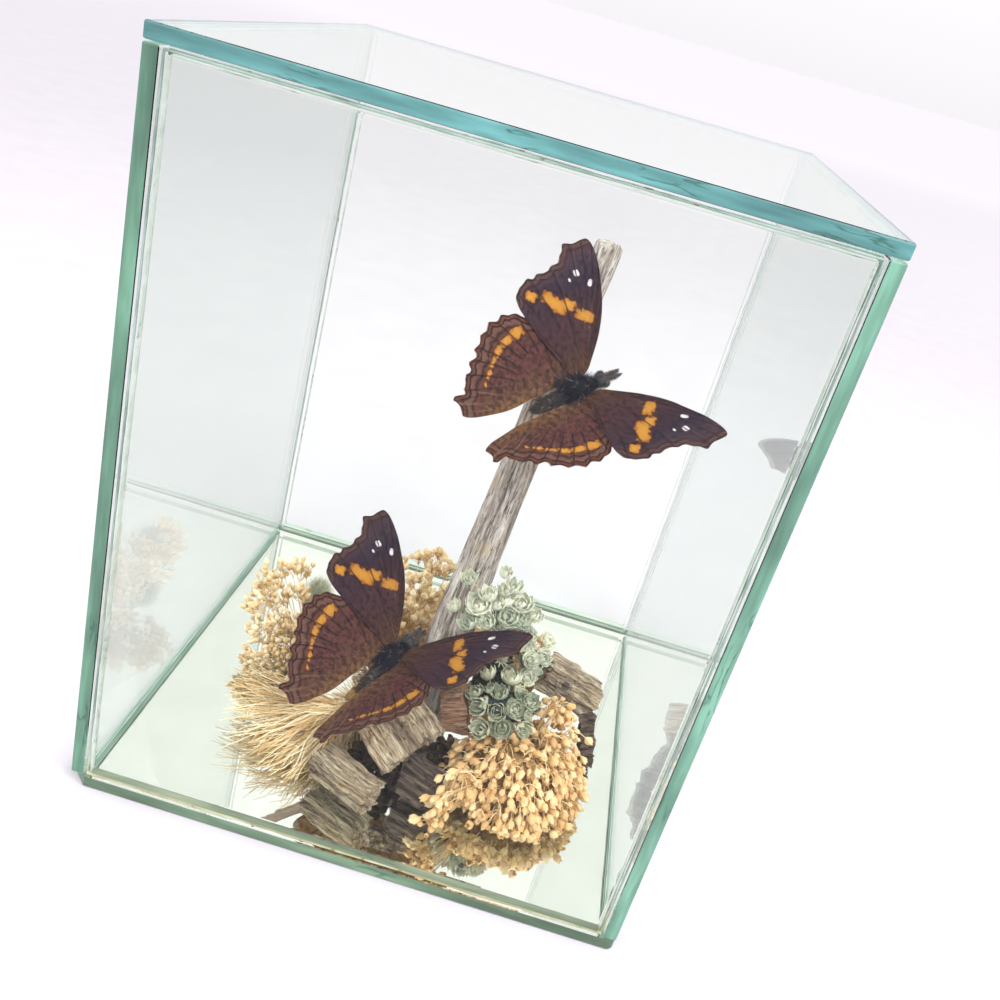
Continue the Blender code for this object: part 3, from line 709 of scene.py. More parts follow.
def wing_under():
    """Scaled underside of a wing: paler ochre brown, mottled, with veins a little darker."""
    mat, tree = new_material("wing underside scales")
    flat = add(tree, "UVMap", uv_map="wing")
    mottle = cloudy(tree, flat, 0.3, 5.0, 0.6)
    scales = cloudy(tree, flat, 3.0, 5.0, 0.75)
    colour = shaded(tree, mottle, [(0.3, "#6A4A34"), (0.48, "#93703F"), (0.6, "#B08A5A"), (0.75, "#8A6A58")])
    vein = stored(tree, "vein")
    thin = between(tree, vein, 0.34, 0.14, 0.0, 0.7)
    colour = blend(tree, thin, colour, "#4A3428")
    bump = bumped(tree, scales, 0.5, 0.0001)
    dress(tree, Base_Color=colour, Roughness=0.7, Specular_IOR_Level=0.25, Sheen_Weight=0.15, Normal=bump)
    return mat


def insect_skin():
    """Dry chitin under the hair: near black, with a low sheen."""
    mat, tree = new_material("dry chitin")
    pits = cloudy(tree, own_place(tree), 2500.0, 2.0)
    colour = shaded(tree, pits, [(0.35, "#0E0D12"), (0.65, "#201D24")])
    bump = bumped(tree, pits, 0.5, 0.0001)
    dress(tree, Base_Color=colour, Roughness=0.5, Normal=bump)
    return mat


def insect_hair():
    """Fine hair over the chitin: navy on the thorax, brown-grey on the head, dark brown behind."""
    mat, tree = new_material("insect hair")
    tone = stored(tree, "tone")
    colour = shaded(tree, tone, [ (0.0, "#0E101C"), (0.3, "#25283E"), (0.36, "#3C3638"), (0.6, "#5E524A"),
                                 (0.66, "#1C1412"), (0.9, "#4A3A32"), (1.0, "#C4B4A2")])
    dress(tree, Base_Color=colour, Roughness=0.5, Specular_IOR_Level=0.2)
    return mat


def dry_plant(name, tones):
    """Dried plant skin: papery, each piece with its own tone, with fine flecks and broad patches."""
    mat, tree = new_material(name)
    tone = stored(tree, "tone")
    place = own_place(tree)
    flecks = cloudy(tree, place, 1400.0, 4.0)
    patches = cloudy(tree, place, 160.0, 2.0)
    mixed = worked(tree, "MULTIPLY_ADD", flecks, 0.35, worked(tree, "MULTIPLY_ADD", tone, 0.9, -0.12))
    mixed = worked(tree, "MULTIPLY_ADD", worked(tree, "SUBTRACT", patches, 0.5), 0.5, mixed)
    steps = [(0.1 + 0.8 * i / (len(tones) - 1), tone) for i, tone in enumerate(tones)]
    colour = shaded(tree, mixed, steps)
    bump = bumped(tree, flecks, 0.6, 0.00015)
    dress(tree, Base_Color=colour, Roughness=0.7, Specular_IOR_Level=0.3, Normal=bump)
    return mat


def moss_shade(name, tones):
    """Litter and shade under the heads, coarse and matt."""
    mat, tree = new_material(name)
    place = own_place(tree)
    lumps = cloudy(tree, place, 420.0, 6.0, 0.7)
    colour = shaded(tree, lumps, list(zip((0.35, 0.5, 0.62, 0.75), tones)))
    bump = bumped(tree, lumps, 1.0, 0.0012)
    dress(tree, Base_Color=colour, Roughness=0.95, Specular_IOR_Level=0.1, Normal=bump)
    return mat


def studio_floor():
    """Seamless pale paper: matt, very slightly lavender near the case and painted whiter far behind it, as
    painted light.
    """
    mat, tree = new_material("pale studio paper")
    place = own_place(tree)
    fibre = cloudy(tree, place, 40.0, 4.0)
    near = shaded(tree, fibre, [(0.3, "#CAC6CC"), (0.7, "#CECAD0")])
    away = add(tree, "VectorMath", {0: place}, out=1, operation="LENGTH")
    far = between(tree, away, *PAPER_PAINTED_WHITENING)
    colour = blend(tree, far, near, "#E9E7EA")
    dress(tree, Base_Color=colour, Roughness=0.9, Specular_IOR_Level=0.1)
    return mat


# ---------------------------------------------------------------- the case

def mirror_plate(glass, silver, edge):
    """Base plate: glass over silver, its front left corner nipped off and the others eased."""
    deselect()
    bpy.ops.mesh.primitive_cube_add(size=1, location=(0, 0, GLASS / 2))
    plate = bpy.context.object
    plate.scale = (2 * HALF_WIDTH, 2 * HALF_DEPTH, GLASS)
    bpy.ops.object.transform_apply(location=True, scale=True)
    for width, x, y in BASE_CORNERS:
        corner = Vector((x * HALF_WIDTH, y * HALF_DEPTH))
        choose(plate, plate.data.edges, lambda e: all(
            (plate.data.vertices[v].co.xy - corner).length < 0.01 for v in e.vertices))
        in_edit_mode(plate, "EDGE")
        bpy.ops.mesh.bevel(offset=width, segments=1 if width > 3 else 5)
        in_object_mode()
    choose(plate, plate.data.edges, lambda e: abs(
        plate.data.vertices[e.vertices[0]].co.z - plate.data.vertices[e.vertices[1]].co.z) < 0.01)
    in_edit_mode(plate, "EDGE")
    bpy.ops.mesh.bevel(offset=EDGE_GRIND, segments=2)
    in_object_mode()
    for face in plate.data.polygons:
        face.material_index = 1 if face.normal.z < -0.9 else 0 if face.normal.z > 0.9 else 2
    return settle(plate, "mirror_base_plate", ["mirror_base"], mats=(glass, silver, edge))


def pane(node, glass, edge, joint):
    """Pane of float glass: a cube drawn out to its size, its edges ground and eased. The edge that
    stands on the base has a finish of its own, and so has a side pane's upper edge."""
    low, high = [Vector(corner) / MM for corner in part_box(node)]
    deselect()
    bpy.ops.mesh.primitive_cube_add(size=1, location=(low + high) / 2)
    sheet = bpy.context.object
    sheet.scale = high - low
    bpy.ops.object.transform_apply(location=True, scale=True)
    thin = min(range(3), key=lambda axis: (high - low)[axis])
    in_edit_mode(sheet, "EDGE")
    bpy.ops.mesh.select_all(action="SELECT")
    bpy.ops.mesh.bevel(offset=EDGE_GRIND, segments=2)
    in_object_mode()
    for face in sheet.data.polygons:
        if thin == 2:
            face.material_index = 0 if abs(face.normal.z) > 0.9 else 1
        elif thin == 0:
            face.material_index = 0 if abs(face.normal.x) > 0.9 else 2 if abs(face.normal.z) > 0.5 else 1
        else:
            face.material_index = 0 if abs(face.normal.y) > 0.9 else 2 if face.normal.z < -0.5 else 1
    return settle(sheet, node + "_ground", [node], mats=(glass, edge, joint))


def wandering_line(start, end, steps, sway, radius, uneven, seed):
    """A hand-run bead: a line whose centre sways a little and whose thickness comes and goes."""
    line = []
    for step in range(steps + 1):
        part = step / steps
        place = start.lerp(end, part)
        at = place / 9 + Vector((seed * 7.3, 0, 0))
        swing = noise.noise_vector(at) * sway + noise.noise_vector(at * 3) * sway * 0.5
        thick = radius * (1 + uneven * noise.noise(at * 1.7 + UP * 5) + 0.35 * uneven * noise.noise(at * 6))
        line.append((place + swing, max(0.1, thick)))
    return line


def spill(place, dice):
    """A crumb of silicone left on the base beside the front pane."""
    crumb = ball(place, (dice.uniform(0.3, 1.2), dice.uniform(0.2, 0.45), 0.14), (0, 0, dice.uniform(-25, 25)),
                 segments=12, rings=8)
    for v in crumb.data.vertices:
        v.co += noise.noise_vector(v.co / 0.5) * 0.12
    return crumb


def pane_sealant(name, node, side, mat):
    """Silicone round the front or back pane: a skin in the gap, a little run inside and corner blobs."""
    x, z_low, z_high = 61.35, 3.8, HEIGHT - 3.8
    corners = [Vector((-x, 0, z_low)), Vector((x, 0, z_low)), Vector((x, 0, z_high)), Vector((-x, 0, z_high))]
    front = side < 0
    rows = ((67.25, 0.24, 0.05, 0.4), (64.95, 0.17, 0.15, 1.2)) if front else ((65.0, 0.13, 0.08, 0.8),)
    lines = []
    for depth, radius, sway, uneven in rows:
        for number in range(4):
            start = corners[number] + Vector((0, side * depth, 0))
            end = corners[(number + 1) % 4] + Vector((0, side * depth, 0))
            thick = radius * (1.9 if number == 0 and front else 1.0)
            lines.append(wandering_line(start, end, 90, sway, thick, uneven, number + depth + side))
    parts = [draw_stems(name, lines, sides=1)]
    dice = random.Random(31 + side)
    for corner in corners:
        wide = dice.uniform(0.5, 0.9) if front and corner.z < 50 else 0.35
        inward = Vector((-math.copysign(0.3, corner.x), side * 65.3, math.copysign(0.35, 50 - corner.z)))
        blob = ball(corner + inward, (wide, 0.6, wide * dice.uniform(1.0, 1.4)), segments=20, rings=14)
        for v in blob.data.vertices:
            v.co += noise.noise_vector(v.co / 0.8) * 0.25
        parts.append(blob)
    if front:
        parts += [spill(Vector((dice.uniform(-60, -22), -64.7, 3.45)), dice) for _ in range(SPILLS)]
    piece = join(parts)
    smooth(piece)
    return settle(piece, name, [node], mats=(mat,))


def side_sealant(mat):
    """Clear-edged thread of silicone along the side walls' floor and top joints."""
    lines = []
    for x in (-61.8, 61.8):
        for z in (3.45, HEIGHT - 3.45):
            lines.append(wandering_line(Vector((x, -64, z)), Vector((x, 64, z)), 90, 0.05, 0.12, 0.7, x + z))
    piece = draw_stems("side_wall_beads", lines, sides=1)
    smooth(piece)
    return settle(piece, "side_wall_beads", mats=(mat,))


# ---------------------------------------------------------------- the wood

def keep_grain(piece):
    """Stores the modelled place as the grain attribute, before the piece is turned into the case."""
    grain = piece.data.attributes.new("grain", "FLOAT_VECTOR", "POINT")
    for item, vert in zip(grain.data, piece.data.vertices):
        item.vector = vert.co


def driftwood_stick(mat):
    """A cylinder cut into many rings, furrowed along its length, swollen at knots, splintered on top."""
    axis = STICK_TOP - STICK_FOOT
    deselect()
    bpy.ops.mesh.primitive_cylinder_add(vertices=84, radius=1.0, depth=axis.length, end_fill_type="NGON")
    stick = bpy.context.object
    verts = stick.data.vertices
    for cuts in (90, 2):
        choose(stick, stick.data.edges,
               lambda edge: abs(verts[edge.vertices[0]].co.z - verts[edge.vertices[1]].co.z) > 1)
        in_edit_mode(stick, "EDGE")
        bpy.ops.mesh.subdivide(number_cuts=cuts)
        in_object_mode()
        verts = stick.data.vertices
    choose(stick, stick.data.polygons, lambda f: f.normal.z > 0.9)
    in_edit_mode(stick, "FACE")
    for width in (0.12, 0.14, 0.16, 0.16, 0.16, 0.14):
        bpy.ops.mesh.inset(thickness=width)
    bpy.ops.mesh.poke()
    in_object_mode()
    for vert in stick.data.vertices:
        wear_stick(vert, axis.length)
    grain = stick.data.attributes.new("grain", "FLOAT_VECTOR", "POINT")
    for item, vert in zip(grain.data, stick.data.vertices):
        item.vector = (vert.co.z, vert.co.x, vert.co.y)
    smooth(stick, 50)
    turn = axis.to_track_quat("Z", "Y").to_matrix().to_4x4()
    place = Matrix.Translation((STICK_FOOT + STICK_TOP) / 2) @ turn
    for vert in stick.data.vertices:
        low = (place @ vert.co).z
        if low < FLOOR:
            vert.co += turn.inverted().to_3x3() @ Vector((0, 0, FLOOR - low))
    return settle(stick, "weathered_stick", ["driftwood_stick"], place, (mat,))


def wear_stick(vert, length):
    along = vert.co.z / length + 0.5
    around = math.atan2(vert.co.y, vert.co.x)
    share = math.hypot(vert.co.x, vert.co.y)
    radius = STICK_RADII[0] + (STICK_RADII[1] - STICK_RADII[0]) * along + 0.5 * max(0.0, along - 0.9) / 0.1
    rib = 1 + 0.07 * math.sin(3 * around + 4 * along) + 0.05 * math.sin(7 * around - 6 * along)
    flare = 1 + 0.16 * max(0.0, 0.16 - along) / 0.16
    ring = Vector((math.cos(around), math.sin(around), 0))
    swell = 0.35 * noise.noise(ring * 1.2 + UP * vert.co.z / 16)
    crack = valley(noise.noise(ring * 2.4 + UP * vert.co.z / 34 + Vector((4, 0, 0))), 0.10)
    furrow = valley(noise.noise(ring * 6.5 + UP * vert.co.z / 20), 0.16)
    fibre = noise.noise(ring * 15 + UP * vert.co.z / 9)
    radius = radius * rib * flare + swell - 0.95 * crack - 0.42 * furrow + 0.13 * fibre
    bow = STICK_BOW * math.sin(math.pi * along)
    vert.co.x = ring.x * radius * share + bow
    vert.co.y = ring.y * radius * share + 0.4 * bow * math.sin(9 * along)
    if along > 0.985:
        splinter = noise.noise(Vector((vert.co.x, vert.co.y, 3)) / 0.8)
        tilt = math.sin(2.3 * around + 1.0) * share
        vert.co.z += (0.7 * tilt + 0.9 * splinter + 1.3 * (1 - share * share)) * min(1, (along - 0.985) / 0.015)


def wood_piece(name, mat):
    """Split piece: a cube cut fine, worn along its grain, cracked, its ends torn."""
    centre, size, turn, seed, finish = WOOD[name]
    deselect()
    bpy.ops.mesh.primitive_cube_add(size=1)
    piece = bpy.context.object
    in_edit_mode(piece)
    bpy.ops.mesh.subdivide(number_cuts=38)
    in_object_mode()
    size = Vector(size)
    for vert in piece.data.vertices:
        wear_block(vert, size, seed, finish)
    keep_grain(piece)
    place = Matrix.Translation(centre) @ turned_by(turn)
    back = place.inverted()
    for vert in piece.data.vertices:
        there = place @ vert.co
        if there.z < FLOOR:
            there.z = FLOOR
            vert.co = back @ there
    smooth(piece, 50)
    return settle(piece, name + "_worn", [name], place, (mat,))


def wear_block(vert, size, seed, finish):
    flat = vert.co.copy()
    vert.co = Vector([a * b for a, b in zip(vert.co, size)])
    rough = {"split": 1.0, "knotted": 0.8, "bark": 0.8, "smooth": 0.25}[finish]
    wear = noise.noise_vector(vert.co / 4.5 + Vector((seed, 0, 0)))
    vert.co += Vector((wear.x * 0.9, wear.y * 0.7, wear.z * 0.7))
    vert.co.y *= 1 - 0.10 * vert.co.x / size.x
    vert.co.z *= 1 + 0.14 * vert.co.x / size.x
    around = Vector((0, flat.y, flat.z))
    corner = abs(flat.y) * abs(flat.z) * 4
    if around.length > 1e-6:
        around.normalize()
    at = Vector((vert.co.x / 11, vert.co.y / 1.5, vert.co.z / 1.5)) + Vector((seed * 3, 0, 0))
    crack = valley(noise.noise(at), 0.14)
    layer = noise.noise(at * 2.6)
    fibre = noise.noise(Vector((vert.co.x / 5, vert.co.y / 0.4, vert.co.z / 0.4)))
    sink = rough * (0.75 * crack - 0.3 * layer - 0.16 * fibre) + 0.5 * corner
    vert.co -= around * sink
    if abs(flat.x) > 0.45:
        torn = noise.noise(Vector((seed, vert.co.y / 1.1, vert.co.z / 1.1)))
        vert.co.x += math.copysign(1.0, flat.x) * (1.3 * torn * rough - 0.3) * (abs(flat.x) - 0.45) * 20


# ---------------------------------------------------------------- the butterflies

def curved(points):
    """Catmull-Rom curve through the points, which form a closed outline."""
    count = len(points)
    made = []
    for number in range(count):
        p = [Vector(points[(number + k) % count]) for k in (-1, 0, 1, 2)]
        for step in range(RIM_STEPS):
            t = step / RIM_STEPS
            made.append(0.5 * (2 * p[1] + (p[2] - p[0]) * t + (2 * p[0] - 5 * p[1] + 4 * p[2] - p[3]) * t * t
                               + (3 * p[1] - p[0] - 3 * p[2] + p[3]) * t ** 3))
    return made


def distance_to(points, line):
    """Distance of each point to a polyline, both as arrays of two columns."""
    best = np.full(len(points), 1e9)
    for start, end in zip(line[:-1], line[1:]):
        step = end - start
        part = np.clip((points - start) @ step / max(step @ step, 1e-12), 0, 1)
        gap = points - (start + part[:, None] * step)
        best = np.minimum(best, np.hypot(gap[:, 0], gap[:, 1]))
    return best


def scalloped(rim, margin, teeth):
    """Draws the outer margin of the rim out into pointed teeth."""
    count, height = teeth
    low, high = margin
    made = list(rim)
    for place in range(low, high + 1):
        turn = (place - low) / (high - low) * count
        tooth = 1 - abs(2 * (turn % 1) - 1)
        step = rim[place + 1] - rim[place - 1]
        out = Vector((-step.y, step.x)).normalized()
        made[place] = rim[place] + out * height * (tooth ** 1.4 - 0.35) * min(1, turn, count - turn)
    return made


def wing_sheet(name, outline, vein_ends, stems, margin, teeth, side):
    """Wing as a fan of columns from its root to its rim: some columns are the veins."""
    low, high = (place * RIM_STEPS for place in margin)
    rim = scalloped(curved(outline), (low, high), teeth)
    inner_lead, inner_trail = Vector(outline[1]), Vector(outline[0])
    marks = [RIM_STEPS] + [int(end * RIM_STEPS) for end in vein_ends] + [len(rim)]
    columns, vein_columns = [], []
    for number, (first, last) in enumerate(zip(marks[:-1], marks[1:])):
        pieces = max(4, last - first)
        if number:
            vein_columns.append(len(columns))
        columns += [first + (last - first) * k / pieces for k in range(pieces)]
    columns.append(len(rim))
    rows = WING_ROWS
    grid = []
    for number, place in enumerate(columns):
        before = int(place)
        end = rim[before % len(rim)].lerp(rim[(before + 1) % len(rim)], place - before)
        part = number / (len(columns) - 1)
        start = inner_lead.lerp(inner_trail, 0.25 + 0.5 * part) + Vector((-0.2, 0))
        if number == 0:
            start = inner_lead
        across = Vector((-(end - start).y, (end - start).x)) * (0.055 * math.sin(math.pi * part))
        for row in range(rows + 1):
            t = (row / rows) ** 0.8
            grid.append(start.lerp(end, t) + across * 4 * t * (1 - t))
    points = np.array([list(p) for p in grid])
    faces = []
    for column in range(len(columns) - 1):
        for row in range(rows):
            a = column * (rows + 1) + row
            quad = (a, a + 1, a + rows + 2, a + rows + 1)
            faces.append(quad if side < 0 else quad[::-1])
    veins = np.full(len(points), 9.0)
    reach = np.tile(np.arange(rows + 1) / rows, len(columns))
    for number, column in enumerate(vein_columns):
        line = points[column * (rows + 1):(column + 1) * (rows + 1)]
        if number not in stems:
            line = line[int(rows * 0.42):]
        veins = np.minimum(veins, distance_to(points, line))
    rim_gap = distance_to(points, np.array([list(p) for p in rim[low:high]]))
    heights = 0.45 * np.sin(points[:, 0] / 10) * reach + 0.10 * np.exp(-(veins / 0.5) ** 2)
    heights += 0.10 * np.sin(points[:, 1] / 2.6 + points[:, 0] / 4)
    mesh = bpy.data.meshes.new(name)
    mesh.from_pydata([(side * x, y, z) for (x, y), z in zip(points, heights)], [], faces)
    keep_values(mesh, "vein", veins.astype(np.float32))
    keep_values(mesh, "margin", rim_gap.astype(np.float32))
    flat = mesh.uv_layers.new(name="wing")
    for loop in mesh.loops:
        flat.data[loop.index].uv = points[loop.vertex_index]
    return in_scene(name, mesh)


def wing(name, hand, pair, spec, body_place, mats):
    side = -1 if hand == "left" else 1
    *kit, root = WINGS[pair]
    piece = wing_sheet(name, *kit, side)
    for mat in mats:
        piece.data.materials.append(mat)
    pick(piece)
    in_edit_mode(piece)
    bpy.ops.mesh.select_all(action="SELECT")
    bpy.ops.mesh.remove_doubles(threshold=0.003)
    in_object_mode()
    apply_modifier(piece, "SOLIDIFY", thickness=WING_THICKNESS, offset=0.0, material_offset=1)
    smooth(piece, 60)
    lifted = Matrix.Rotation(math.radians(-side * spec["lift"]), 4, "Y")
    hinge = Matrix.Translation(lifted @ Vector((side * root.x, root.y, root.z)))
    sweep = Matrix.Rotation(math.radians(side * spec[pair][0 if side < 0 else 1]), 4, "Z")
    node = f"{name}_{hand}_{pair}"
    return settle(piece, node + "_scaled", [node], body_place @ hinge @ lifted @ sweep)


def ball(centre, radii, turn=(0, 0, 0), segments=28, rings=18):
    deselect()
    bpy.ops.mesh.primitive_uv_sphere_add(segments=segments, ring_count=rings, radius=1.0, location=centre,
                                         rotation=[math.radians(a) for a in turn])
    piece = bpy.context.object
    piece.scale = radii
    bpy.ops.object.transform_apply(location=True, rotation=True, scale=True)
    return piece


def hair_shape():
    """One hair: three sides, bent once, closed at its root, running up local Z for 1 mm."""
    points = [(math.cos(a) * r, math.sin(a) * r + bend, z) for z, r, bend in ((0, 0.05, 0), (0.55, 0.035, 0.06))
              for a in (0, 2.1, 4.2)] + [(0, 0.22, 1.0)]
    faces = [(2, 1, 0)]
    for a, b in ((0, 1), (1, 2), (2, 0)):
        faces += [(a, b, b + 3, a + 3), (a + 3, b + 3, 6)]
    return np.array(points), faces, [1] * len(faces), np.full(len(points), 0.5)


def hair_cloud(heap, centre, radii, count, length, lean, tones, keep=None):
    """Hairs over an ellipsoid, combed along lean, their tones within the given range."""
    hair = hair_shape()
    dice = heap.dice
    for number in range(count):
        up = 1 - 2 * (number + 0.5) / count
        around = math.radians(number * GOLDEN_STEP)
        flat = math.sqrt(1 - up * up)
        normal = Vector((flat * math.cos(around), flat * math.sin(around), up))
        place = centre + Vector([a * b for a, b in zip(normal, radii)]) * 0.96
        if keep and not keep(place):
            continue
        aim = normal + lean * dice.uniform(0.5, 1.2) + strewn(dice, 0.4)
        size = length * dice.uniform(0.5, 1.35)
        tone = 1.0 if dice.random() < 0.015 else dice.uniform(*tones)
        stand = pointing(place, aim.normalized(), dice.uniform(0, 6.28)) @ Matrix.Diagonal((1, 1, size, 1))
        heap.put(hair, stand, tone, own=1.0)


def butterfly_body(name, feet, place, mats):
    """Thorax, ringed abdomen, head with eyes, palps and legs, under a coat of hair."""
    thorax = ball((0, -2.4, 0), (2.5, 4.6, 2.5))
    abdomen = ball((0, -10.2, -0.7), (1.8, 6.0, 1.8), (6, 0, 0), segments=24, rings=48)
    for vert in abdomen.data.vertices:
        ridge = 1 + 0.06 * math.cos(vert.co.y * 4.6)
        vert.co.x *= ridge
        vert.co.z = (vert.co.z + 0.7) * ridge - 0.7
    head = ball((0, 4.2, -0.1), (1.9, 2.0, 1.7))
    eyes = [ball((1.6 * side, 4.9, 0.1), (0.9, 1.1, 1.1), segments=18, rings=12) for side in (-1, 1)]
    lines = []
    for side in (-1, 1):
        lines.append([(Vector((0.5 * side, 5.2, -0.3)), 0.5), (Vector((0.6 * side, 7.6, 0.0)), 0.55),
                      (Vector((0.72 * side, 9.4, 0.3)), 0.34), (Vector((0.75 * side, 10.2, 0.4)), 0.12)])
        for back, reach in ((-4.4, -2.0), (-2.6, -0.4), (-0.8, 1.2)):
            hip = Vector((1.3 * side, back, -1.5))
            foot = Vector((feet[0] + feet[2] * side, back + reach, feet[1]))
            knee = hip.lerp(foot, 0.45) + Vector((0.7 * side, 0, -0.1))
            lines.append([(hip, 0.3), (knee, 0.26), (hip.lerp(foot, 0.8), 0.16), (foot, 0.12)])
    limbs = draw_stems(name + "_limbs", lines, sides=1)
    bare = join([thorax, abdomen, head, limbs] + eyes)
    smooth(bare, 60)
    heap = Heap(11)
    heap.put(shape_of(bare), Matrix(), tone=0.2)
    back = Vector((0, -1.0, 0))
    for centre, radii, count, length, lean, tones in (
            ((0, -2.4, 0), (2.6, 4.8, 2.6), 2600, 2.3, back, (0.0, 0.3)),
            ((0, 4.2, -0.1), (1.9, 2.0, 1.7), 550, 1.0, Vector((0, 0.6, 0.2)), (0.36, 0.6)),
            ((0, -10.2, -0.7), (1.8, 6.0, 1.8), 1500, 1.0, back, (0.66, 0.92))):
        hair_cloud(heap, Vector(centre), Vector(radii), count, length, lean, tones)
    for side in (-1, 1):
        hair_cloud(heap, Vector((2.9 * side, -3.4, 1.1)), Vector((1.7, 3.6, 0.6)), 460, 2.4,
                   Vector((0.9 * side, -0.8, 0.1)), (0.0, 0.36), keep=lambda p: p.z > 0.9)
        hair_cloud(heap, Vector((1.5 * side, -9.0, 0.2)), Vector((1.6, 4.5, 0.6)), 260, 2.2,
                   Vector((0.7 * side, -1.0, 0.1)), (0.7, 0.92), keep=lambda p: p.z > 0.0)
        hair_cloud(heap, Vector((0.62 * side, 7.6, 0.0)), Vector((0.5, 2.2, 0.5)), 260, 0.7,
                   Vector((0, 1.2, 0)), (0.36, 0.6))
    body = heap.build(name)
    return settle(body, name + "_haired", [name], place, mats)


def butterfly(name, spec, finishes):
    place = Matrix.Translation(spec["place"]) @ turned_by(spec["turn"])
    butterfly_body(name + "_butterfly_body", spec["feet"], place, (finishes["skin"], finishes["hair"]))
    for pair in ("forewing", "hindwing"):
        for hand in ("left", "right"):
            wing(name, hand, pair, spec, place, (finishes[pair], finishes["under"]))


# ---------------------------------------------------------------- the dried flowers

def turned_shape(profile, sides, hollow=0.0):
    """Pod or bud turned by hand: a small disc drawn up ring by ring through (height, radius)."""
    deselect()
    height, radius = profile[0]
    bpy.ops.mesh.primitive_circle_add(vertices=sides, radius=radius, fill_type="NGON", location=(0, 0, height))
    piece = bpy.context.object
    bpy.ops.object.transform_apply(location=True)
    in_edit_mode(piece)
    bpy.ops.mesh.select_all(action="SELECT")
    bpy.ops.mesh.flip_normals()
    bpy.ops.mesh.extrude_region_move(TRANSFORM_OT_translate={"value": (0, 0, profile[1][0] - height)})
    bpy.ops.transform.resize(value=(profile[1][1] / radius,) * 2 + (1,))
    for (low, before), (high, after) in zip(profile[1:-1], profile[2:]):
        bpy.ops.mesh.extrude_region_move(TRANSFORM_OT_translate={"value": (0, 0, high - low)})
        bpy.ops.transform.resize(value=(after / before, after / before, 1))
    if hollow:
        bpy.ops.mesh.inset(thickness=0.18 * profile[-1][1])
        bpy.ops.mesh.extrude_region_move(TRANSFORM_OT_translate={"value": (0, 0, -hollow)})
    bpy.ops.mesh.select_all(action="SELECT")
    bpy.ops.mesh.normals_make_consistent(inside=False)
    in_object_mode()
    return piece


def toned(piece, rule):
    """Stores on a modelled shape a tone for each point, worked out from its place."""
    keep_values(piece.data, "tone", [min(1.0, max(0.0, rule(v.co))) for v in piece.data.vertices])
    return shape_of(piece)


def urn_bud():
    """Dry pod, 1 mm in radius, hung by its drawn-out end at local zero, with a ribbed belly and a
    torn open mouth."""
    piece = turned_shape([(0, 0.12), (0.45, 0.28), (0.9, 0.72), (1.5, 1.0), (2.1, 0.95), (2.55, 0.6),
                          (2.8, 0.66)],
                         8, hollow=0.7)
    for vert in piece.data.vertices:
        around = math.atan2(vert.co.y, vert.co.x)
        belly = 1 + 0.07 * math.cos(4 * around) if vert.co.z < 2.3 else 1 + 0.16 * math.cos(4 * around)
        vert.co.x *= belly
        vert.co.y *= belly
        if vert.co.z > 2.6:
            vert.co.z += 0.2 * math.cos(4 * around)
    # tone rises from stalk to lip; the inside of the mouth is toned darker, painted shade in the hollow
    return toned(piece, lambda co: 0.25 + 0.32 * co.z if co.z < 2.0 else 0.92 - 0.5 * (co.xy.length < 0.5))


def closed_bud():
    """Closed bud, 1 mm in radius, its stalk end at local zero, drawn out to a point."""
    piece = turned_shape([(0, 0.12), (0.35, 0.5), (1.0, 0.98), (1.8, 0.86), (2.5, 0.42), (3.0, 0.08)], 8)
    return toned(piece, lambda co: 0.2 + 0.28 * co.z)


def cone_head():
    """Husk of pointed bracts round a small ball, 1 mm in radius, its stalk end at local zero."""
    core = turned_shape([(0, 0.15), (0.5, 0.55), (1.1, 0.6), (1.7, 0.2)], 6)
    heap = Heap(5)
    heap.put(toned(core, lambda co: 0.3), Matrix(), tone=0.3)
    bract = petal_shape(0.5, 1.5, 0.25, cuts=(1, 2))
    for number in range(8):
        up = number / 8
        around = math.radians(number * GOLDEN_STEP)
        foot = Vector((math.cos(around), math.sin(around), 0)) * (0.5 - 0.3 * up) + UP * (0.1 + 0.9 * up)
        lean = 0.62 - 0.4 * up
        aim = Vector((math.cos(around) * lean, math.sin(around) * lean, 1))
        heap.put(bract, Matrix.Translation(foot) @ outward(aim, around))
    return shape_of(heap.build("husk"))


def outward(aim, around):
    """Turn that lays a petal's length along aim with its back to the outside."""
    y = aim.normalized()
    x = Vector((-math.sin(around), math.cos(around), 0))
    return Matrix((x, y, x.cross(y))).transposed().to_4x4()


def petal_shape(width, length, bulge, flare=0.0, cuts=(2, 4)):
    """One petal: its base at the origin, its length along Y, bowed to the outside in its middle,
    sides rolled in, drawn to a point, and paler to its tip and sides: darker at the base as painted
    shade, paler at the tip as its cream edge and painted highlight."""
    deselect()
    bpy.ops.mesh.primitive_grid_add(x_subdivisions=cuts[0], y_subdivisions=cuts[1], size=1)
    piece = bpy.context.object
    for vert in piece.data.vertices:
        across, t = vert.co.x * 2, vert.co.y + 0.5
        full = 0.38 * (1 - t) + math.sin(math.pi * min(1.0, t ** 0.8)) ** 0.85 + 0.03
        vert.co = Vector((across * width * full, t * length * (1 - 0.06 * across * across),
                          bulge * math.sin(math.pi * t * 0.95) - 0.35 * width * full * across * across
                          + flare * t ** 3))
    # tone rises from base to tip and sides: painted shade at the base, cream edge and painted highlight at the
    # tip
    keep_values(piece.data, "tone", [min(1.0, 0.14 + 0.58 * v.co.y / length + 0.34 * (abs(v.co.x) / width) ** 2)
                                     for v in piece.data.vertices])
    apply_modifier(piece, "SOLIDIFY", thickness=0.09 * width + 0.03, offset=0.0)
    in_edit_mode(piece)
    bpy.ops.mesh.select_all(action="SELECT")
    bpy.ops.mesh.normals_make_consistent(inside=False)
    in_object_mode()
    return shape_of(piece)


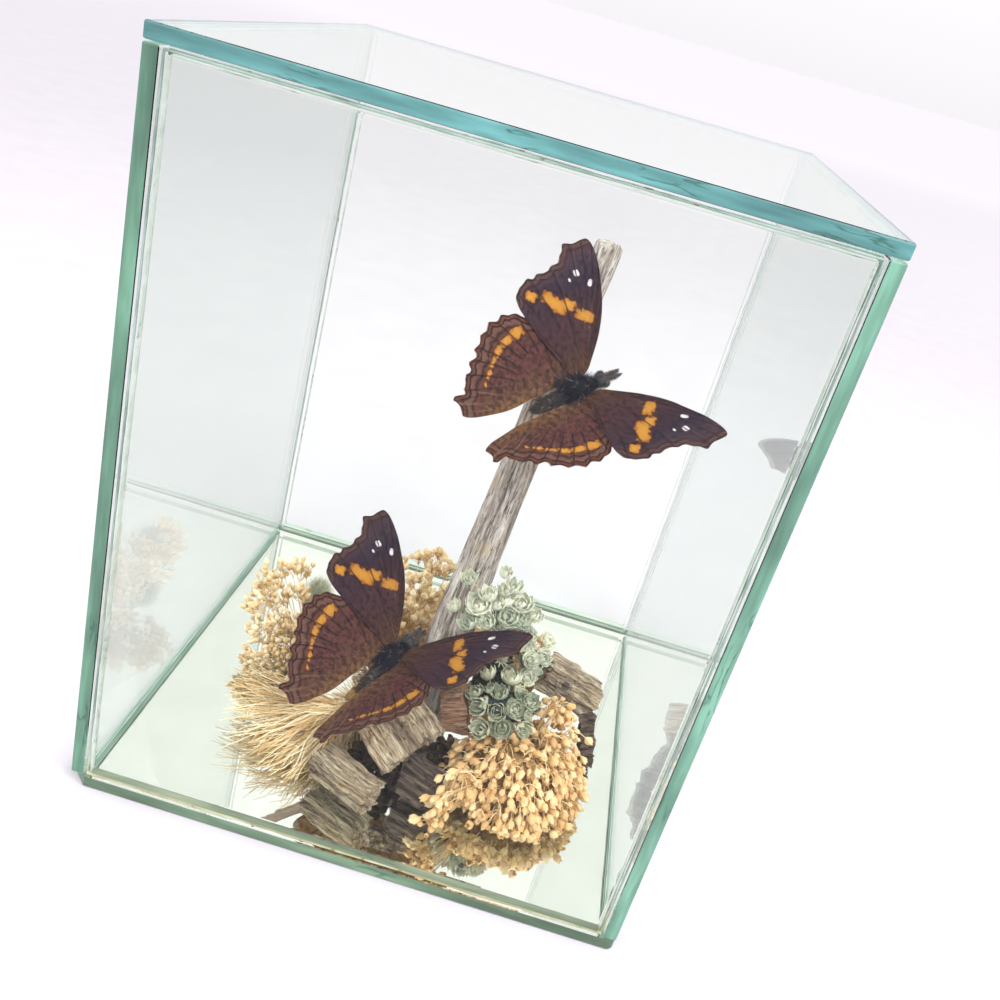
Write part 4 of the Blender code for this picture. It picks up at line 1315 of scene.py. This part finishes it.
def rosette(rings, petal, seed):
    """Flower of petals in rings of (count, radius, lean from upright in degrees, size)."""
    heap = Heap(seed)
    dice = heap.dice
    for count, radius, lean, size in rings:
        for number in range(count):
            around = 2 * math.pi * (number + dice.uniform(-0.22, 0.22)) / count + 3 * radius
            tip = math.radians(lean + dice.uniform(-8, 8))
            aim = Vector((math.cos(around) * math.sin(tip), math.sin(around) * math.sin(tip), math.cos(tip)))
            foot = Vector((math.cos(around) * radius, math.sin(around) * radius, 0))
            heap.put(petal, Matrix.Translation(foot) @ outward(aim, around)
                     @ Matrix.Scale(size * dice.uniform(0.88, 1.1), 4), own=0.3)
    return shape_of(heap.build("rosette"))


def heads_on_core(centre, radii, count, reach, arc, dice):
    """Places over the core's upper side, by the golden angle, with their way out."""
    places = []
    for step in range(count):
        heading = (step * GOLDEN_STEP) % 360 - 180
        if not arc[0] <= heading <= arc[1] and not arc[0] <= heading + 360 <= arc[1]:
            continue
        up = 0.02 + 0.96 * (step + 0.5) / count
        flat = math.sqrt(1 - up * up)
        out = Vector((flat * math.cos(math.radians(heading)), flat * math.sin(math.radians(heading)), up))
        stretch = dice.uniform(*reach)
        place = centre + Vector([a * b * stretch for a, b in zip(out, radii)])
        if clear_of_wood(place):
            places.append(place)
    return places


WOOD_PLACES = [((Matrix.Translation(centre) @ turned_by(turn)).inverted(), size)
               for centre, size, turn, seed, finish in WOOD.values()]


def clear_of_wood(place):
    for back, size in WOOD_PLACES:
        own = back @ place
        if all(abs(a) < b / 2 + 0.6 for a, b in zip(own, size)):
            return False
    return place.z > FLOOR + 0.6 and abs(place.x) < 59 and abs(place.y) < 62


def litter_core(centre, radii, shrink):
    """Lumpy dark middle of a bunch, seen only between its heads: its dark finish is litter and painted shade.
    """
    core = ball(centre, [r * shrink for r in radii], segments=56, rings=40)
    for vert in core.data.vertices:
        out = (vert.co - centre).normalized()
        vert.co += out * (1.1 * noise.noise(vert.co / 2.4) + 0.7 * noise.noise(vert.co / 0.9))
        vert.co.z = max(vert.co.z, FLOOR)
    core.data.attributes.new("tone", "FLOAT", "POINT")
    return core


def arched(foot, top, rise, thick):
    """A stem from foot to top that bows up and wanders a little."""
    line = []
    for step in range(STEM_STEPS + 1):
        t = step / STEM_STEPS
        point = foot.lerp(top, t) + UP * math.sin(math.pi * t) * rise
        point += noise.noise_vector(top * 0.7 + Vector((t * 3, 0, 0))) * 1.5 * t * (1 - t)
        point.z = max(point.z, FLOOR + thick)
        line.append((point, thick * (1.2 - 0.6 * t)))
    return line


def spray(heap, lines, hub, out, heads, plan):
    """A fork at hub: each of its heads sits on a thin hooked stalk."""
    dice = heap.dice
    for _ in range(dice.randint(*plan["per_spray"])):
        way = out + UP * plan["rise"] + strewn(dice, 1) * plan["spread"]
        length = plan["stalk"] * dice.uniform(0.5, 1.35)
        elbow = hub + way.normalized() * length * 0.62
        tip = hub + way.normalized() * length - UP * plan["hook"] * length * 0.5
        if not clear_of_wood(tip):
            continue
        aim = (tip - elbow).normalized() - UP * plan["hook"] * dice.uniform(0.2, 1.0)
        aim += strewn(dice, 0.3)
        size = plan["size"] * dice.uniform(*plan["sizes"])
        if tip.z + aim.normalized().z * 3 * size < FLOOR + 0.8:
            aim.z = abs(aim.z) * 0.3
        thick = plan["thick"]
        bend, end = hub.lerp(elbow, 0.5) + UP * 0.12 * length, tip + aim.normalized() * 0.2 * size
        lines.append([(hub, thick), (bend, thick * 0.8), (elbow, thick * 0.7), (end, thick * 0.62)])
        heap.put(dice.choice(heads), pointing(tip, aim.normalized(), dice.uniform(0, 6.28), size))


def place_sage_head(heap, lines, centre, middle, width, heads):
    """One head at its own place: wide ones open, narrow ones still closed like a tulip."""
    dice = heap.dice
    out = (middle - centre).normalized()
    aim = (Vector((out.x, out.y - 0.35, max(0.0, out.z))) + UP * 0.45 + strewn(dice, 0.2)).normalized()
    head, own_width = (heads[0], 4.3) if width > 4.6 else (heads[1], 3.0)
    foot = Vector((middle.x * 0.4 + centre.x * 0.6, middle.y * 0.4 + centre.y * 0.6, middle.z - 6))
    base = middle - aim * 0.42 * width
    lines.append(arched(foot, base, 0.3, 0.2))
    heap.put(head, pointing(base, aim, dice.uniform(0, 6.28), width / own_width), tone=dice.uniform(0.5, 1.0))


def with_tone(piece, dice, islands_of):
    """Gives each stem, made of islands_of vertices each, a tone of its own."""
    tones = np.repeat([dice.random() for _ in islands_of], islands_of)
    keep_values(piece.data, "tone", np.resize(tones, len(piece.data.vertices)).astype(np.float32))


def bunch(name, heads, finishes, slot, plan, seed):
    """Forked stems with their heads over a dark middle, as one piece with three finishes."""
    centre, radii, count, reach, arc, tips = BUNCHES[name]
    centre, radii = Vector(centre), Vector(radii)
    heap = Heap(seed)
    dice = heap.dice
    lines = []
    hubs = heads_on_core(centre, radii, count, reach, arc, dice)
    for tip in tips:
        hubs += [Vector(tip) + strewn(dice, 1) * plan["scatter"] for _ in range(plan["per_tip"])]
    for hub in hubs:
        if not clear_of_wood(hub):
            continue
        foot = centre.lerp(hub, 0.25) + strewn(dice, 1)
        foot.z = max(FLOOR + 0.3, min(foot.z, centre.z))
        lines.append(arched(foot, hub, (hub - foot).length * 0.08, plan["thick"] * 1.25))
        spray(heap, lines, hub, (hub - centre).normalized(), heads, plan)
    for *middle, width in SAGE_HEADS.get(name, ()):
        place_sage_head(heap, lines, centre, Vector(middle), width, heads)
    stems = draw_stems(name + "_stems", lines)
    with_tone(stems, dice, [len(line) * 4 for line in lines])
    parts = [heap.build(name), stems, litter_core(centre, radii, plan["core"])]
    for part, finish in zip(parts, finishes):
        part.data.materials.append(finish)
    piece = join(parts)
    smooth(piece, 50)
    return settle(piece, name + "_dried", [name])


def main_flowers(looks):
    urn, bud, husk = urn_bud(), closed_bud(), cone_head()
    upright = petal_shape(0.62, 2.5, 0.5, flare=0.12)
    broad = petal_shape(0.72, 2.0, 0.62, flare=-0.2)
    narrow = petal_shape(0.2, 2.4, 0.25, flare=0.3, cuts=(1, 3))
    lily = rosette(((3, 0.2, 3, 0.8), (5, 0.5, 7, 0.92), (8, 0.85, 13, 1.0)), upright, 3)
    cup = rosette(((3, 0.15, 3, 0.62), (5, 0.45, 12, 0.82), (7, 0.75, 24, 0.98), (9, 1.05, 40, 1.0)), broad, 5)
    fringe = rosette(((7, 0.15, 12, 0.9), (9, 0.3, 30, 1.0), (11, 0.45, 50, 1.0), (10, 0.5, 72, 0.9)),
                     narrow, 7)
    hanging = dict(per_spray=(3, 5), rise=-0.15, spread=0.9, stalk=3.6, hook=0.7, size=0.92, sizes=(0.6, 1.2),
                   thick=0.15, scatter=1.5, per_tip=3, core=0.84)
    upward = dict(per_spray=(5, 8), rise=0.5, spread=0.9, stalk=3.2, hook=0.0, size=0.68, sizes=(0.7, 1.2),
                  thick=0.11, scatter=1.6, per_tip=3, core=0.78)
    headed = dict(per_spray=(1, 1), rise=0.9, spread=0.45, stalk=1.2, hook=0.0, size=1.0, sizes=(0.7, 1.15),
                  thick=0.2, scatter=1.6, per_tip=1, core=0.86)
    # warm is litter with painted shade, dark is painted shade inside the sage bunches
    stem, warm, dark = looks["stem"], looks["litter"], looks["shade"]
    straw, seed = (looks["straw"], stem, warm), (looks["seed"], stem, warm)
    sage, sage_in_painted_shade = (looks["sage"], stem, dark), (looks["dark sage"], stem, dark)
    plans = (
        ("bud_bunch", [urn, urn, urn, bud], straw, "straw_flower", hanging, 21),
        ("sage_flowers_low", [cup, lily], sage_in_painted_shade, "sage_flower", dict(headed, core=0.95), 22),
        ("sage_flowers_tall", [cup, lily, fringe], sage, "sage_flower", headed, 23),
        ("seed_heads_back", [husk, bud, husk], seed, "straw_flower", dict(upward, size=0.9, stalk=2.4), 24),
        ("seed_heads_right", [husk, bud], straw, "straw_flower", dict(upward, size=0.9, stalk=2.8), 25),
        ("seed_heads_left", [bud, bud, husk], seed, "straw_flower", dict(upward, size=0.74), 26))
    for plan in plans:
        bunch(*plan)


def grey_tuft(looks):
    """Fluffy ball of fine fibres."""
    centre, radii = [Vector(item) for item in BUNCHES["grey_tuft"][:2]]
    heap = Heap(27)
    heap.put(shape_of(litter_core(centre, radii, 0.75)), Matrix(), tone=0.3)
    hair_cloud(heap, centre, radii * 0.85, TUFT_HAIRS, 2.6, Vector((0, 0, 0.2)), (0.45, 1.0),
               keep=lambda place: place.z > FLOOR + 1)
    piece = heap.build("grey_tuft")
    for face in piece.data.polygons:
        face.material_index = 0       # hairs carry the insects' second finish; the tuft has only one
    smooth(piece, 50)
    settle(piece, "grey_tuft_dried", ["grey_tuft"], mats=(looks["fluff"],))


def bark_crumbs_and_painted_shade(mat):
    """Dark crumbs of bark heaped on the base under the split pieces: dark bark, and painted shade in the gap
    there.
    """
    deselect()
    bpy.ops.mesh.primitive_cube_add(size=1)
    chip = bpy.context.object
    in_edit_mode(chip)
    bpy.ops.mesh.subdivide(number_cuts=2)
    in_object_mode()
    for vert in chip.data.vertices:
        vert.co += noise.noise_vector(vert.co * 1.7) * 0.22
    shape = shape_of(chip)
    heap = Heap(41)
    dice = heap.dice
    for middle, size in [heap_of[:2] for heap_of in CRUMBS_AND_PAINTED_SHADE for _ in range(heap_of[2])]:
        heading, out = dice.uniform(0, 2 * math.pi), math.sqrt(dice.random())
        place = middle + Vector((math.cos(heading) * size.x * out, math.sin(heading) * size.y * out,
                                 size.z * dice.random() * (1 - out * out)))
        if not clear_of_wood(place):
            continue
        turn = turned_by([dice.uniform(-30, 30), dice.uniform(-30, 30), dice.uniform(0, 360)])
        long = dice.uniform(1.2, 3.4)
        heap.put(shape, Matrix.Translation(place) @ turn @ Matrix.Diagonal((long, long * 0.5, long * 0.32, 1)))
    piece = heap.build("bark_crumbs_and_painted_shade")
    for vert in piece.data.vertices:
        vert.co.z = max(vert.co.z, FLOOR)
    smooth(piece, 40)
    settle(piece, "bark_crumbs_and_painted_shade", mats=(mat,))


def brush_reach(part):
    """Heading and reach of a stem that stands the given part of the way round the fan."""
    first, last = BRUSH_REACH[0][0], BRUSH_REACH[-1][0]
    heading = first + (last - first) * part
    for (low, near), (high, far) in zip(BRUSH_REACH[:-1], BRUSH_REACH[1:]):
        if heading <= high:
            break
    return math.radians(heading), near + (far - near) * (heading - low) / (high - low)


def brush(looks):
    """Fan of cut stems out of a bound bed, wavy and forked, the finest standing apart at the left."""
    dice = random.Random(4)
    lines = []
    for number in range(BRUSH_STEMS):
        heading, length = brush_reach(dice.random())
        rise = math.radians(dice.uniform(*BRUSH_RISE))
        length *= dice.uniform(0.6, 0.96)
        droop = 1.5 + 4.0 * min(1.0, max(0.0, (math.degrees(heading) - 185) / 45))
        way = Vector((math.cos(heading) * math.cos(rise), math.sin(heading) * math.cos(rise), math.sin(rise)))
        start = BRUSH_ROOT + Vector([dice.uniform(-2.5, 2.5), dice.uniform(-2.5, 3.0), dice.uniform(-3.5, 3.0)])
        shift = Vector((number * 3.1, 0, 0))
        line = []
        for step in range(8):
            t = step / 7
            point = start + way * length * t + noise.noise_vector(shift + way * t * 3) * 3.0 * t
            point.z = max(point.z - droop * t * t, FLOOR + 0.25)
            line.append((point, 0.2 * (1.1 - 0.65 * t)))
        lines.append(line)
        for _ in range(dice.randint(0, 2)):
            low = dice.randint(4, 6)
            foot, thick = line[low]
            tip = foot + (way + strewn(dice, 0.7)) * dice.uniform(2.0, 4.0)
            tip.z = max(tip.z, FLOOR + 0.2)
            lines.append([(foot, thick * 0.8), (foot.lerp(tip, 0.5) + UP * 0.2, thick * 0.7), (tip, 0.05)])
    for _ in range(BED_STEMS):
        heading = math.radians(dice.uniform(90, 330))
        rim = Vector((math.cos(heading) * 4.6, math.sin(heading) * 5.4, 0))
        foot = BRUSH_ROOT + BRUSH_BED[0] + rim * dice.random()
        foot.z = dice.uniform(FLOOR + 0.3, 12)
        top = foot + Vector((math.cos(heading) * 6.5, math.sin(heading) * 6.5, dice.uniform(-1, 3)))
        top.z = max(top.z, FLOOR + 0.3)
        lines.append([(foot, 0.24), (foot.lerp(top, 0.5) + UP * 0.5, 0.22), (top, 0.12)])
    stems = draw_stems("brush_stems", lines)
    with_tone(stems, dice, [len(line) * 4 for line in lines])
    bed = litter_core(BRUSH_ROOT + BRUSH_BED[0], BRUSH_BED[1], 0.72)
    for part, finish in ((stems, looks["brush"]), (bed, looks["litter"])):
        part.data.materials.append(finish)
    piece = join([stems, bed])
    smooth(piece, 50)
    settle(piece, "cut_stem_brush_fine", ["cut_stem_brush"])


# ---------------------------------------------------------------- stage and camera

def stage():
    deselect()
    bpy.ops.mesh.primitive_circle_add(vertices=96, radius=PAPER_RADIUS, fill_type="NGON",
                                      location=(0, 0, -0.0002))
    floor = bpy.context.object
    floor.name = "studio_floor"
    floor.data.materials.append(studio_floor())
    world = bpy.data.worlds.new("studio")
    bpy.context.scene.world = world
    world.use_nodes = True
    tree = world.node_tree
    height = add(tree, "SeparateXYZ", {0: add(tree, "TexCoord", out="Generated")}, out=2)
    strength = between(tree, height, 0.0, 0.30, HORIZON_LIGHT, SKY_LIGHT)
    background = tree.nodes["Background"]
    background.inputs["Color"].default_value = SKY_TINT
    tree.links.new(strength, background.inputs["Strength"])
    for name, place, size, power in LAMPS:
        light = bpy.data.lights.new(name, "AREA")
        light.size = size
        light.energy = power
        lamp = in_scene(name, light)
        lamp.location = place
        aim = LAMP_AIM - Vector(place)
        lamp.rotation_euler = aim.to_track_quat("-Z", "Y").to_euler()


def camera():
    data = bpy.data.cameras.new("camera")
    data.lens = CAMERA_LENS
    data.sensor_width = 36
    data.clip_start = 0.01
    eye = in_scene("camera", data)
    turn = Matrix((CAMERA_RIGHT, CAMERA_UP, CAMERA_BACK)).transposed().to_4x4()
    eye.matrix_world = Matrix.Translation(CAMERA_PLACE * MM) @ turn
    bpy.context.scene.camera = eye


# ---------------------------------------------------------------- everything together

def build_case():
    """Panes, mirror base and silicone."""
    glasses = {name: float_glass(name, *spec) for name, spec in GLASSES.items()}
    edges = {name: cut_edge(name, *spec) for name, spec in EDGES.items()}
    for node, (glass, edge, joint) in PANES.items():
        pane(node, glasses[glass], edges[edge], edges[joint])
    mirror_plate(glasses["base"], silvering(), edges["base"])
    thin = silicone("thin clear silicone", THIN_SILICONE)
    yellowing = silicone("silicone, clear above and cream below", CLEAR_SILICONE, CREAM_SILICONE)
    pane_sealant("front_pane_silicone", "front_sealant", -1, yellowing)
    pane_sealant("back_pane_silicone", "back_sealant", 1, thin)
    side_sealant(thin)


def build_wood():
    """The stick and the loose pieces of wood."""
    driftwood_stick(wood("weathered driftwood", STICK_TONES, 0.5, streaks=0.5))
    finishes = {name: wood(**spec) for name, spec in WOOD_FINISHES.items()}
    for name, spec in WOOD.items():
        wood_piece(name, finishes[spec[4]])


def build_butterflies():
    """Both butterflies, in the same finishes."""
    finishes = {
        "forewing": wing_upper("forewing scales", FORE_GROUND_AND_PAINTED_SHEEN, FORE_LINES, FORE_ORANGE, FORE_WHITE),
        "hindwing": wing_upper("hindwing scales", HIND_GROUND, HIND_LINES, HIND_ORANGE, ()),
        "under": wing_under(), "skin": insect_skin(), "hair": insect_hair()}
    for name, spec in BUTTERFLIES.items():
        butterfly(name, spec, finishes)


def build_plants():
    """Dried flowers, tuft, brush and the dark crumbs between the pieces of wood, partly painted shade."""
    looks = {name: dry_plant(*spec) for name, spec in PLANTS.items()}
    looks.update((name, moss_shade(*spec)) for name, spec in LITTER.items())
    main_flowers(looks)
    grey_tuft(looks)
    brush(looks)
    bark_crumbs_and_painted_shade(looks["crumbs"])


def main():
    build_case()
    build_wood()
    build_butterflies()
    build_plants()
    stage()
    camera()
    bpy.context.scene.view_settings.view_transform = "Standard"


main()
